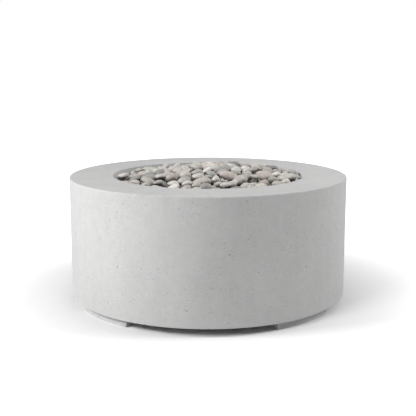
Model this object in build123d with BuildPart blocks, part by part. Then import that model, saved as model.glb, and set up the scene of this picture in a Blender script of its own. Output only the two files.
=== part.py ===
from build123d import *
import os
from math import cos, hypot, radians, sin

import numpy as np

# A round fire pit: a cast-concrete shell on four arc feet, with a gas burner in a sunk steel pan
# under a heap of river stones.
# Millimetres. The origin is on the floor under the centre, +Z is up, the plain front faces -Y and
# the controls sit in a recess at the back, towards +Y.

# Clearances that several pieces share
fit_gap = 0.15  # between pieces that are pushed or screwed together
running_gap = 0.05  # radial, round the turning plug
sliding_gap = 0.1  # round the stem and the button
cut_overrun = 2.0  # how far a cut runs past the face that it opens

# Concrete shell
shell_radius = 508.0
rim_height = 455.0
foot_height = 27.0
shell_wall = 26.0
slab_thickness = 32.0
opening_radius = 348.0
ledge_drop = 42.0  # from the rim down to the ledge that carries the pan
ledge_width = 20.0
ledge_thickness = 20.0
opening_collar = 26.0  # width of the thick ring round the opening, under the slab
lip_width = 74.0  # the thick ring at the base, which the feet bolt to
lip_height = 40.0
lip_taper = 40.0
edge_round = 3.5
base_round = 3.0
slab_round = 20.0

# Feet and their bolts
foot_setback = 17.0
foot_angle = 28.7
foot_edge = 1.5
foot_bolt_angle = 16.0  # between the two bolts of a foot
foot_bolt_radius = 5.0
foot_bolt_reach = 28.0  # into the insert
foot_head_radius = 8.0
foot_head_height = 8.0
foot_head_room = 1.0  # round the head in its recess
foot_recess = 13.0
foot_insert_wall = 3.0
foot_insert_length = 34.0

# Burner pan and its gasket
gasket_thickness = 3.0
pan_sheet = 2.0
pan_depth = 36.0  # from the flange down to the floor
pan_side_gap = 4.0  # between the pan and the ledge
pan_rim_gap = 2.0  # between the flange and the opening
pan_bend = 5.0
drain_radius = 4.0
drain_inset = 30.0
drain_count = 8

# Burner
burner_ring_radius = 215.0
burner_core_radius = 105.0  # the inner ring
burner_tube_radius = 10.65
burner_tube_wall = 1.6
burner_lift = 11.35  # clear height under the rings
arm_radius = 8.0
arm_wall = 1.5
port_radius = 1.5
ring_port_count = 9  # in each quarter
core_port_count = 5
hub_radius = 20.0
hub_height = 30.0
stand_length = 26.0
stand_width = 24.0
stand_bite = 4.0  # how far a stand's cradle rises round the ring

# Gas feed under the pan
nipple_radius = 10.65
nipple_wall = 2.6
nipple_grip = 12.0  # threaded length in the hub and in the elbow
pan_nut_flats = 34.0
pan_nut_thickness = 6.0
elbow_drop = 6.0  # from the lower pan nut to the elbow
elbow_radius = 16.0
elbow_socket = 30.0
elbow_reach = 34.0
feed_radius = 9.0
feed_wall = 1.5
feed_bend = 42.0
feed_nut_flats = 27.0
feed_nut_length = 16.0

# Control tray in the back wall
control_height = 225.0
control_spacing = 76.0
recess_depth = 16.0
recess_margin = 2.0  # between the tray's flange and the recess
recess_round = 10.0
boss_depth = 32.0  # of the cast boss behind the recess
boss_margin = 10.0
tray_width = 140.0
tray_height = 64.0
tray_depth = 45.0
tray_sheet = 2.0
tray_round = 6.0
tray_flange = 16.0
tray_wall_gap = 2.0  # between the tray and the hole in the concrete
tray_screw_inset = 9.0
tray_screw_radius = 2.4
tray_screw_reach = 15.0
tray_head_radius = 5.0
tray_head_height = 3.0
tray_insert_wall = 1.5
tray_insert_length = 19.0

# Gas valve
valve_size = 36.0
valve_length = 50.0
valve_face = 8.5  # metal in front of the plug
neck_radius = 8.0
neck_length = 9.0
port_setback = 25.0  # from the valve's front to its ports
port_boss_radius = 11.0
port_boss_reach = 36.0
port_bore = 6.0
plug_radius = 9.0
plug_length = 32.0
plug_port = 5.0
plug_end_gap = 0.5
stem_radius = 4.0
stem_square = 5.5
stem_tail = 5.0  # from the stem's inner end to the back of the plug
stem_shoulder = 2.0  # from the tray's back to where the stem turns round
stem_reach = 30.0
press_travel = 6.0
magnet_gap = 0.6  # left in front of the magnet when the knob is pressed in
magnet_head_radius = 12.0
magnet_head_length = 12.0
valve_nut_flats = 22.0
valve_nut_thickness = 5.0

# Knob
knob_radius = 22.0
knob_height = 24.0
knob_stand_off = 13.5
knob_hollow_radius = 15.0
knob_hollow_depth = 10.0
knob_skin = 6.0  # left in front of the stem's socket
knob_round = 2.0
knob_flute_radius = 3.0
knob_flute_bite = 1.4
knob_flute_count = 16
knob_mark_width = 2.4
knob_mark_depth = 1.2
bezel_radius = 28.0
bezel_bore = 14.0
bezel_thickness = 3.0
bezel_chamfer = 1.0

# Spark igniter
igniter_radius = 10.5
igniter_flange_radius = 14.0
igniter_flange = 3.0
igniter_end = 4.0
igniter_tail_radius = 4.0
igniter_tail = 6.0
igniter_nut_flats = 28.0
igniter_nut_thickness = 8.0
button_radius = 8.5
button_proud = 7.5
button_sunk = 15.0
button_round = 1.2
button_travel = 5.0
button_rest = 5.0  # left behind the button when it is pressed in
battery_radius = 7.25
battery_length = 50.5
battery_tip_radius = 2.75
battery_tip = 1.0

# Flame sensing and spark, beside the burner
pilot_gap = 24.4  # from the outer ring's tube to the pilot
pilot_spacing = 22.0
pilot_plate = 1.5
pilot_plate_length = 54.0
pilot_plate_width = 24.0
pilot_plate_rise = 20.0
probe_radius = 3.0
probe_rise = 44.0
electrode_radius = 3.5
electrode_rise = 36.0
sensor_collar_radius = 5.5
sensor_collar_height = 3.5
sensor_drop = 12.0  # how far both reach below the pan
spark_rod_radius = 1.2
spark_rod_rise = 12.0
spark_rod_reach = 11.0
spark_rod_bend = 4.0
guard_length = 68.0
guard_width = 40.0
guard_height = 54.0
guard_sheet = 1.2
guard_round = 4.0
guard_slot_width = 4.0
guard_slot_height = 34.0
guard_slot_pitch = 10.0
guard_slot_count = 5

# Lines from the pilot to the controls
spark_lead_radius = 2.0
sensor_lead_radius = 1.6
lead_bend = 40.0
sensor_nut_flats = 11.0
sensor_nut_length = 12.0
sensor_turn_drop = 58.0  # straight fall of the sensor line below the pan
sensor_run_in = 40.0  # its straight run into the valve

# Gas inlet
inlet_pipe_radius = 6.35
inlet_pipe_wall = 1.2
inlet_nut_flats = 24.0
inlet_nut_length = 14.0
inlet_plate_rise = 5.0  # from the top of the shell's taper to the bracket
inlet_plate = 3.0
inlet_plate_width = 44.0
inlet_plate_front = 24.0  # from the pipe to the bracket's free edge
inlet_leg = 38.0
inlet_body_height = 15.0
inlet_thread_radius = 7.94
inlet_shank_radius = 9.5  # through the bracket and the lock nut
inlet_thread_length = 16.0
inlet_lock_thickness = 6.0
inlet_bore = 4.5
inlet_screw_radius = 2.4
inlet_screw_reach = 16.0
inlet_screw_head = 4.6
inlet_screw_head_height = 2.6
inlet_screw_spacing = 24.0
inlet_screw_height = 22.0  # above the bracket's plate

# Stones
rock_length = 100.0
rock_width = 84.0
rock_height = 40.0
stone_length = 70.0
stone_gap = 0.3
stone_grid = 5.0  # step of the grid on which the stones are settled
bed_step = 1.0  # finer step for what lies right under a stone
rock_edge_drop = 36.0  # from the rim to the lava rocks at the wall
rock_rise = 28.0  # of the lava rocks' crown over their edge
heap_edge_drop = 4.0  # the same for the river stones on them
heap_rise = 41.0
under_drop = 24.0  # from the heap's crown to the stones that lie under those seen in the photograph
sunk_limit = 11.0  # how far a seen stone's top may lie under the heap's crown
near_proud_limit = 10.0  # and how far over it, in the near half of the heap
far_proud_limit = 8.0
pixel_size = 3.66  # what one pixel of the photograph covers at the heap
view_distance = 2953.0  # from the pit's axis to where the photograph was taken, along the ground
view_height = 873.8

# Levels and radii that follow from the sizes above
cavity_radius = shell_radius - shell_wall
lip_radius = shell_radius - lip_width
taper_top = foot_height + lip_height + lip_taper
slab_under = rim_height - slab_thickness
opening_collar_radius = opening_radius + opening_collar
ledge_z = rim_height - ledge_drop
ledge_radius = opening_radius - ledge_width
foot_radius = shell_radius - foot_setback
foot_bolt_circle = (foot_radius + lip_radius) / 2
foot_insert_radius = foot_bolt_radius + foot_insert_wall
flange_top = ledge_z + gasket_thickness + pan_sheet
flange_radius = opening_radius - pan_rim_gap
pan_radius = ledge_radius - pan_side_gap
pan_inner_radius = pan_radius - pan_sheet
pan_floor = flange_top - pan_depth
pan_under = pan_floor - pan_sheet
burner_z = pan_floor + burner_lift + burner_tube_radius
hub_base = burner_z - hub_height / 2
elbow_top = pan_under - pan_nut_thickness - elbow_drop
elbow_z = elbow_top - elbow_socket
recess_y = shell_radius - recess_depth
tray_y = recess_y - tray_depth
valve_x = -control_spacing / 2
igniter_x = control_spacing / 2
port_y = tray_y - tray_sheet - port_setback
tray_screw_x = tray_width / 2 + tray_flange - tray_screw_inset
tray_screw_z = tray_height / 2 + tray_flange - tray_screw_inset
foot_angles = {"front_right": -45, "rear_right": 45, "rear_left": 135, "front_left": 225}

# Planes that look out of the back of the tray, on the valve's and on the igniter's axis
tray_plane = Plane(origin=(0, tray_y, control_height), x_dir=(-1, 0, 0), z_dir=(0, 1, 0))
valve_plane = Plane(origin=(valve_x, tray_y, control_height), x_dir=(-1, 0, 0), z_dir=(0, 1, 0))
igniter_plane = Plane(origin=(igniter_x, tray_y, control_height), x_dir=(-1, 0, 0), z_dir=(0, 1, 0))
port_plane = Plane(origin=(valve_x, port_y, control_height))

os.makedirs("parts", exist_ok=True)


def save(shape, name):
    """Label one finished sub-part and write it to its own file."""
    shape.label = name
    export_step(shape, f"parts/{name}.step")


def bolt_places(angle):
    """The two bolt places of the foot at an angle."""
    return PolarLocations(foot_bolt_circle, 2, angle - foot_bolt_angle / 2, foot_bolt_angle, endpoint=True)


def hex_ring(plane, flats, bore, length):
    """A hexagon nut that stands on a plane and is bored through."""
    with BuildPart() as nut:
        with BuildSketch(plane):
            RegularPolygon(flats / 2, 6, major_radius=False)
            Circle(bore, mode=Mode.SUBTRACT)
        extrude(amount=length)
    return nut.part


def tube_along(path, radius, wall=None):
    """A round line that follows a path, hollow if it has a wall."""
    with BuildPart() as tube:
        with BuildSketch(Plane(origin=path @ 0, z_dir=path % 0)):
            Circle(radius)
            if wall is not None:
                Circle(radius - wall, mode=Mode.SUBTRACT)
        sweep(path=path)
    return tube.part


# Concrete shell: one casting with a ledge for the pan, a thick base ring and a recess at the back
with BuildPart() as concrete_shell:
    with BuildSketch(Plane.XZ) as shell_section:
        with BuildLine():
            Polyline(
                (shell_radius, foot_height),
                (shell_radius, rim_height),
                (opening_radius, rim_height),
                (opening_radius, ledge_z),
                (ledge_radius, ledge_z),
                (ledge_radius, ledge_z - ledge_thickness),
                (opening_collar_radius, ledge_z - ledge_thickness),
                (opening_collar_radius, slab_under),
                (cavity_radius, slab_under),
                (cavity_radius, taper_top),
                (lip_radius, taper_top - lip_taper),
                (lip_radius, foot_height),
                close=True,
            )
        make_face()
        corners = shell_section.vertices()
        fillet(corners.group_by(Axis.Y)[-1], edge_round)
        fillet(corners.group_by(Axis.Y)[0].sort_by(Axis.X)[-1], base_round)
        fillet(corners.filter_by(lambda v: abs(v.Y - slab_under) < fit_gap).sort_by(Axis.X)[-1], slab_round)
    revolve(axis=Axis.Z)
    with BuildSketch(tray_plane.offset(tray_depth)):
        RectangleRounded(
            tray_width + 2 * (tray_flange + recess_margin + boss_margin),
            tray_height + 2 * (tray_flange + recess_margin + boss_margin),
            recess_round + boss_margin,
        )
    extrude(amount=-boss_depth)
    with BuildSketch(tray_plane.offset(tray_depth)):
        RectangleRounded(
            tray_width + 2 * (tray_flange + recess_margin),
            tray_height + 2 * (tray_flange + recess_margin),
            recess_round,
        )
    extrude(amount=recess_depth + cut_overrun, mode=Mode.SUBTRACT)
    with BuildSketch(tray_plane.offset(tray_depth)):
        RectangleRounded(
            tray_width + 2 * (tray_sheet + tray_wall_gap),
            tray_height + 2 * (tray_sheet + tray_wall_gap),
            tray_round + tray_wall_gap,
        )
    extrude(amount=-(tray_depth + tray_sheet), mode=Mode.SUBTRACT)
    with BuildSketch(tray_plane.offset(tray_depth)):
        with GridLocations(2 * tray_screw_x, 2 * tray_screw_z, 2, 2):
            Circle(tray_screw_radius + fit_gap + tray_insert_wall + fit_gap)
    extrude(amount=-(tray_insert_length + fit_gap), mode=Mode.SUBTRACT)
    for angle in foot_angles.values():
        for side in (-1, 1):
            bolt_angle = radians(angle + side * foot_bolt_angle / 2)
            hole = (foot_bolt_circle * cos(bolt_angle), foot_bolt_circle * sin(bolt_angle), foot_height)
            with BuildSketch(Plane(origin=hole)):
                Circle(foot_insert_radius + fit_gap)
            extrude(amount=foot_insert_length + fit_gap, mode=Mode.SUBTRACT)
    inlet_screw_z = taper_top + inlet_plate_rise + inlet_plate + inlet_screw_height
    with BuildSketch(Plane(origin=(valve_x, port_y, inlet_screw_z), x_dir=(1, 0, 0), z_dir=(0, 1, 0))):
        with GridLocations(inlet_screw_spacing, 0, 2, 1):
            Circle(inlet_screw_radius + fit_gap)
    extrude(amount=cavity_radius + inlet_screw_reach - port_y, mode=Mode.SUBTRACT)
save(concrete_shell.part, "concrete_shell")

# Feet: four arcs of the same concrete, each with two counterbored bolt holes
for place, angle in foot_angles.items():
    with BuildPart() as foot:
        with BuildSketch(Plane.XZ.rotated((0, 0, angle - foot_angle / 2))):
            with BuildLine():
                Polyline(
                    (lip_radius, 0),
                    (foot_radius, 0),
                    (foot_radius, foot_height),
                    (lip_radius, foot_height),
                    close=True,
                )
            make_face()
        revolve(axis=Axis.Z, revolution_arc=foot_angle)
        chamfer(foot.faces().sort_by(Axis.Z)[0].edges(), foot_edge)
        with BuildSketch(Plane.XY):
            with bolt_places(angle):
                Circle(foot_head_radius + foot_head_room)
        extrude(amount=foot_recess, mode=Mode.SUBTRACT)
        with BuildSketch(Plane.XY):
            with bolt_places(angle):
                Circle(foot_bolt_radius + fit_gap)
        extrude(amount=foot_height, mode=Mode.SUBTRACT)
    save(foot.part, f"foot_{place}")

# Threaded inserts in the base ring, and the bolts that hold the feet to them
with BuildPart() as foot_inserts:
    for angle in foot_angles.values():
        with BuildSketch(Plane.XY.offset(foot_height)):
            with bolt_places(angle):
                Circle(foot_insert_radius)
        extrude(amount=foot_insert_length)
        with BuildSketch(Plane.XY.offset(foot_height)):
            with bolt_places(angle):
                Circle(foot_bolt_radius + fit_gap)
        extrude(amount=foot_insert_length - foot_insert_wall, mode=Mode.SUBTRACT)
save(foot_inserts.part, "foot_inserts")

with BuildPart() as foot_bolts:
    for angle in foot_angles.values():
        with BuildSketch(Plane.XY.offset(foot_recess)):
            with bolt_places(angle):
                RegularPolygon(foot_head_radius, 6)
        extrude(amount=-foot_head_height)
        with BuildSketch(Plane.XY.offset(foot_recess)):
            with bolt_places(angle):
                Circle(foot_bolt_radius)
        extrude(amount=foot_height - foot_recess + foot_bolt_reach)
save(foot_bolts.part, "foot_bolts")

# Burner pan on its heat gasket
pilot_y = burner_ring_radius + burner_tube_radius + pilot_gap
probe_x = igniter_x - pilot_spacing
pilot_x = igniter_x - pilot_spacing / 2

with BuildPart() as pan_gasket:
    with BuildSketch(Plane.XY.offset(ledge_z)):
        Circle(flange_radius)
        Circle(ledge_radius, mode=Mode.SUBTRACT)
    extrude(amount=gasket_thickness)
save(pan_gasket.part, "pan_gasket")

with BuildPart() as burner_pan:
    with BuildSketch(Plane.XZ) as pan_section:
        with BuildLine():
            Polyline(
                (0, pan_under),
                (pan_radius, pan_under),
                (pan_radius, flange_top - pan_sheet),
                (flange_radius, flange_top - pan_sheet),
                (flange_radius, flange_top),
                (pan_inner_radius, flange_top),
                (pan_inner_radius, pan_floor),
                (0, pan_floor),
                close=True,
            )
        make_face()
        bends = pan_section.vertices()
        fillet(bends.group_by(Axis.Y)[0].sort_by(Axis.X)[-1], pan_bend + pan_sheet)
        floor_corner = Vector(pan_inner_radius, pan_floor)
        fillet(bends.sort_by_distance(floor_corner)[0], pan_bend)
    revolve(axis=Axis.Z)
    with BuildSketch(Plane.XY.offset(pan_under)):
        Circle(nipple_radius + fit_gap)
        with PolarLocations(pan_inner_radius - drain_inset, drain_count, 180 / drain_count):
            Circle(drain_radius)
        with Locations((probe_x, pilot_y)):
            Circle(probe_radius + fit_gap)
        with Locations((igniter_x, pilot_y)):
            Circle(electrode_radius + fit_gap)
    extrude(amount=pan_sheet, mode=Mode.SUBTRACT)
save(burner_pan.part, "burner_pan")

# Burner: two rings of four bent quarter tubes with ports, four arms in each space between them, a
# hub, and stands under the outer ring
for name, ring_radius, port_count, walls in (
    ("burner_outer_ring", burner_ring_radius, ring_port_count, 1),
    ("burner_inner_ring", burner_core_radius, core_port_count, 2),
):
    with BuildPart() as quarter_tube:
        with BuildSketch(Plane.XZ):
            with Locations((ring_radius, burner_z)):
                Circle(burner_tube_radius)
                Circle(burner_tube_radius - burner_tube_wall, mode=Mode.SUBTRACT)
        revolve(axis=Axis.Z, revolution_arc=90)
        with BuildSketch(Plane.XY.offset(burner_z)):
            with PolarLocations(ring_radius, port_count, 45 / port_count, 90):
                Circle(port_radius)
        extrude(amount=burner_tube_radius + cut_overrun, mode=Mode.SUBTRACT)
        for way in (Vector(1, 0, 0), Vector(0, 1, 0)):
            inside = way * (ring_radius - burner_tube_radius - cut_overrun) + Vector(0, 0, burner_z)
            with BuildSketch(Plane(origin=inside, z_dir=way)):
                Circle(arm_radius - arm_wall)
            extrude(amount=walls * (burner_tube_radius + cut_overrun), mode=Mode.SUBTRACT)
    quarters = [quarter_tube.part.solids()[0].rotate(Axis.Z, 90 * quarter) for quarter in range(4)]
    save(Compound(children=quarters), name)

for name, start_radius, end_radius in (
    ("burner_inner_arms", 0, burner_core_radius),
    ("burner_outer_arms", burner_core_radius, burner_ring_radius),
):
    with BuildPart() as arms:
        for quarter in range(4):
            start = Vector(start_radius, 0, burner_z).rotate(Axis.Z, 90 * quarter)
            with BuildSketch(Plane(origin=start, z_dir=Vector(1, 0, 0).rotate(Axis.Z, 90 * quarter))):
                Circle(arm_radius)
                Circle(arm_radius - arm_wall, mode=Mode.SUBTRACT)
            extrude(amount=end_radius - start_radius)
        with Locations((0, 0, burner_z)):
            Cylinder(hub_radius + fit_gap, hub_height, mode=Mode.SUBTRACT)
            Torus(burner_core_radius, burner_tube_radius + fit_gap, mode=Mode.SUBTRACT)
            Torus(burner_ring_radius, burner_tube_radius + fit_gap, mode=Mode.SUBTRACT)
    save(arms.part, name)

with BuildPart() as burner_hub:
    with BuildSketch(Plane.XY.offset(hub_base)):
        Circle(hub_radius)
    extrude(amount=hub_height)
    with BuildSketch(Plane.XY.offset(hub_base)):
        Circle(nipple_radius + fit_gap)
    extrude(amount=hub_height / 2 + arm_radius, mode=Mode.SUBTRACT)
    for quarter in range(4):
        arm_way = Vector(1, 0, 0).rotate(Axis.Z, 90 * quarter)
        with BuildSketch(Plane(origin=(0, 0, burner_z), z_dir=arm_way)):
            Circle(arm_radius - arm_wall)
        extrude(amount=hub_radius + cut_overrun, mode=Mode.SUBTRACT)
save(burner_hub.part, "burner_hub")

with BuildPart() as burner_stands:
    with BuildSketch(Plane.XY.offset(pan_floor)):
        with PolarLocations(burner_ring_radius, 4, 45):
            Rectangle(stand_length, stand_width)
    extrude(amount=burner_lift + stand_bite)
    with Locations((0, 0, burner_z)):
        Torus(burner_ring_radius, burner_tube_radius + fit_gap, mode=Mode.SUBTRACT)
save(burner_stands.part, "burner_stands")

# Gas feed: nipple through the pan, two nuts, an elbow, and the line back to the valve
with BuildPart() as feed_nipple:
    with BuildSketch(Plane.XY.offset(elbow_top - nipple_grip)):
        Circle(nipple_radius)
        Circle(nipple_radius - nipple_wall, mode=Mode.SUBTRACT)
    extrude(amount=hub_base + nipple_grip - elbow_top + nipple_grip)
save(feed_nipple.part, "feed_nipple")
for name, level, thickness in (
    ("pan_nut_upper", pan_floor, pan_nut_thickness),
    ("pan_nut_lower", pan_under, -pan_nut_thickness),
):
    save(hex_ring(Plane.XY.offset(level), pan_nut_flats, nipple_radius + fit_gap, thickness), name)

feed_span = hypot(valve_x, port_y)
feed_way = Vector(valve_x, port_y, 0).normalized()
feed_plane = Plane(origin=(0, 0, 0), x_dir=feed_way, z_dir=feed_way.rotate(Axis.Z, -90))
elbow_face = Plane(origin=feed_way * elbow_reach + Vector(0, 0, elbow_z), z_dir=feed_way)
boss_top = control_height + port_boss_reach

with BuildPart() as gas_elbow:
    with BuildSketch(Plane.XY.offset(elbow_top)):
        Circle(elbow_radius)
    extrude(amount=-elbow_socket)
    with BuildSketch(elbow_face):
        Circle(elbow_radius)
    extrude(amount=-elbow_reach)
    with Locations((0, 0, elbow_z)):
        Sphere(elbow_radius)
    with BuildSketch(Plane.XY.offset(elbow_top)):
        Circle(nipple_radius + fit_gap)
    extrude(amount=-nipple_grip, mode=Mode.SUBTRACT)
    with BuildSketch(Plane.XY.offset(elbow_top)):
        Circle(feed_radius - feed_wall)
    extrude(amount=-elbow_socket, mode=Mode.SUBTRACT)
    with BuildSketch(elbow_face):
        Circle(feed_radius - feed_wall)
    extrude(amount=-elbow_reach, mode=Mode.SUBTRACT)
save(gas_elbow.part, "gas_elbow")

with BuildLine(feed_plane) as feed_route:
    FilletPolyline((elbow_reach, elbow_z), (feed_span, elbow_z), (feed_span, boss_top), radius=feed_bend)
save(tube_along(feed_route.wires()[0], feed_radius, feed_wall), "burner_feed_line")
save(hex_ring(elbow_face, feed_nut_flats, feed_radius + fit_gap, feed_nut_length), "feed_nut_burner")
valve_outlet = Plane(origin=(valve_x, port_y, boss_top))
save(hex_ring(valve_outlet, feed_nut_flats, feed_radius + fit_gap, feed_nut_length), "feed_nut_valve")

# Control tray: a sunk steel tray whose flange lies in the recess, with its screws and inserts
with BuildPart() as control_tray:
    with BuildSketch(tray_plane.offset(-tray_sheet)):
        RectangleRounded(tray_width + 2 * tray_sheet, tray_height + 2 * tray_sheet, tray_round)
    extrude(amount=tray_sheet + tray_depth)
    with BuildSketch(tray_plane.offset(tray_depth)):
        RectangleRounded(
            tray_width + 2 * tray_flange, tray_height + 2 * tray_flange, recess_round - recess_margin
        )
    extrude(amount=tray_sheet)
    with BuildSketch(tray_plane):
        RectangleRounded(tray_width, tray_height, tray_round - tray_sheet)
    extrude(amount=tray_depth + tray_sheet, mode=Mode.SUBTRACT)
    with BuildSketch(tray_plane.offset(tray_depth)):
        with GridLocations(2 * tray_screw_x, 2 * tray_screw_z, 2, 2):
            Circle(tray_screw_radius + fit_gap)
    extrude(amount=tray_sheet, mode=Mode.SUBTRACT)
    for plane, radius in ((valve_plane, neck_radius), (igniter_plane, igniter_radius)):
        with BuildSketch(plane):
            Circle(radius + fit_gap)
        extrude(amount=-tray_sheet, mode=Mode.SUBTRACT)
save(control_tray.part, "control_tray")

with BuildPart() as tray_inserts:
    with BuildSketch(tray_plane.offset(tray_depth)):
        with GridLocations(2 * tray_screw_x, 2 * tray_screw_z, 2, 2):
            Circle(tray_screw_radius + fit_gap + tray_insert_wall)
    extrude(amount=-tray_insert_length)
    with BuildSketch(tray_plane.offset(tray_depth)):
        with GridLocations(2 * tray_screw_x, 2 * tray_screw_z, 2, 2):
            Circle(tray_screw_radius + fit_gap)
    extrude(amount=-(tray_insert_length - tray_insert_wall), mode=Mode.SUBTRACT)
save(tray_inserts.part, "tray_inserts")

with BuildPart() as tray_screws:
    with BuildSketch(tray_plane.offset(tray_depth + tray_sheet)):
        with GridLocations(2 * tray_screw_x, 2 * tray_screw_z, 2, 2):
            Circle(tray_head_radius)
    extrude(amount=tray_head_height)
    fillet(tray_screws.faces().group_by(Axis.Y)[-1].edges(), tray_head_height / 2)
    with BuildSketch(tray_plane.offset(tray_depth + tray_sheet + tray_head_height)):
        with GridLocations(2 * tray_screw_x, 2 * tray_screw_z, 2, 2):
            RegularPolygon(tray_screw_radius, 6)
    extrude(amount=-tray_head_height / 2, mode=Mode.SUBTRACT)
    with BuildSketch(tray_plane.offset(tray_depth + tray_sheet)):
        with GridLocations(2 * tray_screw_x, 2 * tray_screw_z, 2, 2):
            Circle(tray_screw_radius)
    extrude(amount=-(tray_sheet + tray_screw_reach))
save(tray_screws.part, "tray_screws")

# Gas valve: body, turning plug, sliding stem, magnet unit, nut, bezel and knob
valve_front = -tray_sheet
valve_back = valve_front - valve_length
plug_front = valve_front - valve_face - plug_end_gap
plug_back = plug_front - plug_length
stem_back = plug_back + stem_tail
magnet_front = stem_back - press_travel - magnet_gap

with BuildPart() as valve_body:
    with BuildSketch(valve_plane.offset(valve_front)):
        RectangleRounded(valve_size, valve_size, edge_round)
    extrude(amount=-valve_length)
    with BuildSketch(valve_plane.offset(valve_front)):
        Circle(neck_radius)
    extrude(amount=neck_length)
    with BuildSketch(port_plane):
        Circle(port_boss_radius)
    extrude(amount=port_boss_reach, both=True)
    with BuildSketch(port_plane):
        Circle(port_bore)
    extrude(amount=port_boss_reach, both=True, mode=Mode.SUBTRACT)
    with BuildSketch(valve_plane.offset(valve_back)):
        Circle(plug_radius + running_gap)
    extrude(amount=valve_length - valve_face, mode=Mode.SUBTRACT)
    with BuildSketch(valve_plane.offset(valve_front - valve_face)):
        Circle(stem_radius + sliding_gap)
    extrude(amount=valve_face + neck_length, mode=Mode.SUBTRACT)
save(valve_body.part, "valve_body")

with BuildPart() as valve_plug:
    with BuildSketch(valve_plane.offset(plug_front)):
        Circle(plug_radius)
        Rectangle(stem_square + 2 * sliding_gap, stem_square + 2 * sliding_gap, mode=Mode.SUBTRACT)
    extrude(amount=-plug_length)
    with BuildSketch(Plane(origin=(valve_x, port_y, control_height), z_dir=(1, 0, 0))):
        Circle(plug_port)
    extrude(amount=plug_radius + cut_overrun, both=True, mode=Mode.SUBTRACT)
save(valve_plug.part, "valve_plug")

with BuildPart() as valve_stem:
    with BuildSketch(valve_plane.offset(stem_back)):
        Rectangle(stem_square, stem_square)
    extrude(amount=valve_front - stem_shoulder - stem_back)
    with BuildSketch(valve_plane.offset(valve_front - stem_shoulder)):
        Circle(stem_radius)
    extrude(amount=stem_reach + stem_shoulder - valve_front)
save(valve_stem.part, "valve_stem")

with BuildPart() as magnet_unit:
    with BuildSketch(valve_plane.offset(magnet_front)):
        Circle(plug_radius)
    extrude(amount=valve_back - magnet_front)
    with BuildSketch(valve_plane.offset(valve_back)):
        Circle(magnet_head_radius)
    extrude(amount=-magnet_head_length)
save(magnet_unit.part, "magnet_unit")
save(hex_ring(valve_plane, valve_nut_flats, neck_radius + fit_gap, valve_nut_thickness), "valve_nut")

with BuildPart() as knob_bezel:
    with BuildSketch(valve_plane):
        Circle(bezel_radius)
        Circle(bezel_bore, mode=Mode.SUBTRACT)
    extrude(amount=bezel_thickness)
    chamfer(knob_bezel.faces().sort_by(Axis.Y)[-1].edges(), bezel_chamfer)
save(knob_bezel.part, "knob_bezel")

knob_face = knob_stand_off + knob_height
with BuildPart() as control_knob:
    with BuildSketch(valve_plane.offset(knob_stand_off)):
        Circle(knob_radius)
        with PolarLocations(knob_radius + knob_flute_radius - knob_flute_bite, knob_flute_count):
            Circle(knob_flute_radius, mode=Mode.SUBTRACT)
    extrude(amount=knob_height)
    chamfer(control_knob.faces().sort_by(Axis.Y)[-1].edges(), knob_round)
    with BuildSketch(valve_plane.offset(knob_stand_off)):
        Circle(knob_hollow_radius)
    extrude(amount=knob_hollow_depth, mode=Mode.SUBTRACT)
    with BuildSketch(valve_plane.offset(knob_stand_off)):
        Circle(stem_radius + fit_gap)
    extrude(amount=knob_height - knob_skin, mode=Mode.SUBTRACT)
    with BuildSketch(valve_plane.offset(knob_face)):
        with Locations((0, knob_radius / 2)):
            Rectangle(knob_mark_width, knob_radius)
    extrude(amount=-knob_mark_depth, mode=Mode.SUBTRACT)
save(control_knob.part, "control_knob")

# Spark igniter: barrel with its cell, nut and push button
button_back = -button_sunk
bore_end = button_back - button_travel - button_rest
cell_front = bore_end - battery_tip
igniter_back = cell_front - battery_length - fit_gap - igniter_end

with BuildPart() as igniter_barrel:
    with BuildSketch(igniter_plane):
        Circle(igniter_flange_radius)
    extrude(amount=igniter_flange)
    chamfer(igniter_barrel.faces().sort_by(Axis.Y)[-1].edges(), bezel_chamfer)
    with BuildSketch(igniter_plane):
        Circle(igniter_radius)
    extrude(amount=igniter_back)
    with BuildSketch(igniter_plane.offset(igniter_back)):
        Circle(igniter_tail_radius)
    extrude(amount=-igniter_tail)
    with BuildSketch(igniter_plane.offset(igniter_flange)):
        Circle(button_radius + sliding_gap)
    extrude(amount=bore_end - igniter_flange, mode=Mode.SUBTRACT)
    with BuildSketch(igniter_plane.offset(bore_end)):
        Circle(battery_radius + fit_gap)
    extrude(amount=-(battery_tip + battery_length + fit_gap), mode=Mode.SUBTRACT)
save(igniter_barrel.part, "igniter_barrel")
igniter_nut_plane = igniter_plane.offset(-tray_sheet)
igniter_nut_bore = igniter_radius + fit_gap
igniter_nut = hex_ring(igniter_nut_plane, igniter_nut_flats, igniter_nut_bore, -igniter_nut_thickness)
save(igniter_nut, "igniter_nut")

with BuildPart() as igniter_button:
    with BuildSketch(igniter_plane.offset(button_back)):
        Circle(button_radius)
    extrude(amount=button_sunk + igniter_flange + button_proud)
    fillet(igniter_button.faces().sort_by(Axis.Y)[-1].edges(), button_round)
save(igniter_button.part, "igniter_button")

with BuildPart() as igniter_cell:
    with BuildSketch(igniter_plane.offset(cell_front)):
        Circle(battery_radius)
    extrude(amount=-battery_length)
    with BuildSketch(igniter_plane.offset(cell_front)):
        Circle(battery_tip_radius)
    extrude(amount=battery_tip)
save(igniter_cell.part, "igniter_cell")

# Flame sensor and spark electrode on their plate, under a slotted stone guard
sensor_end = pan_under - sensor_drop
plate_top = pan_floor + pilot_plate

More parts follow.
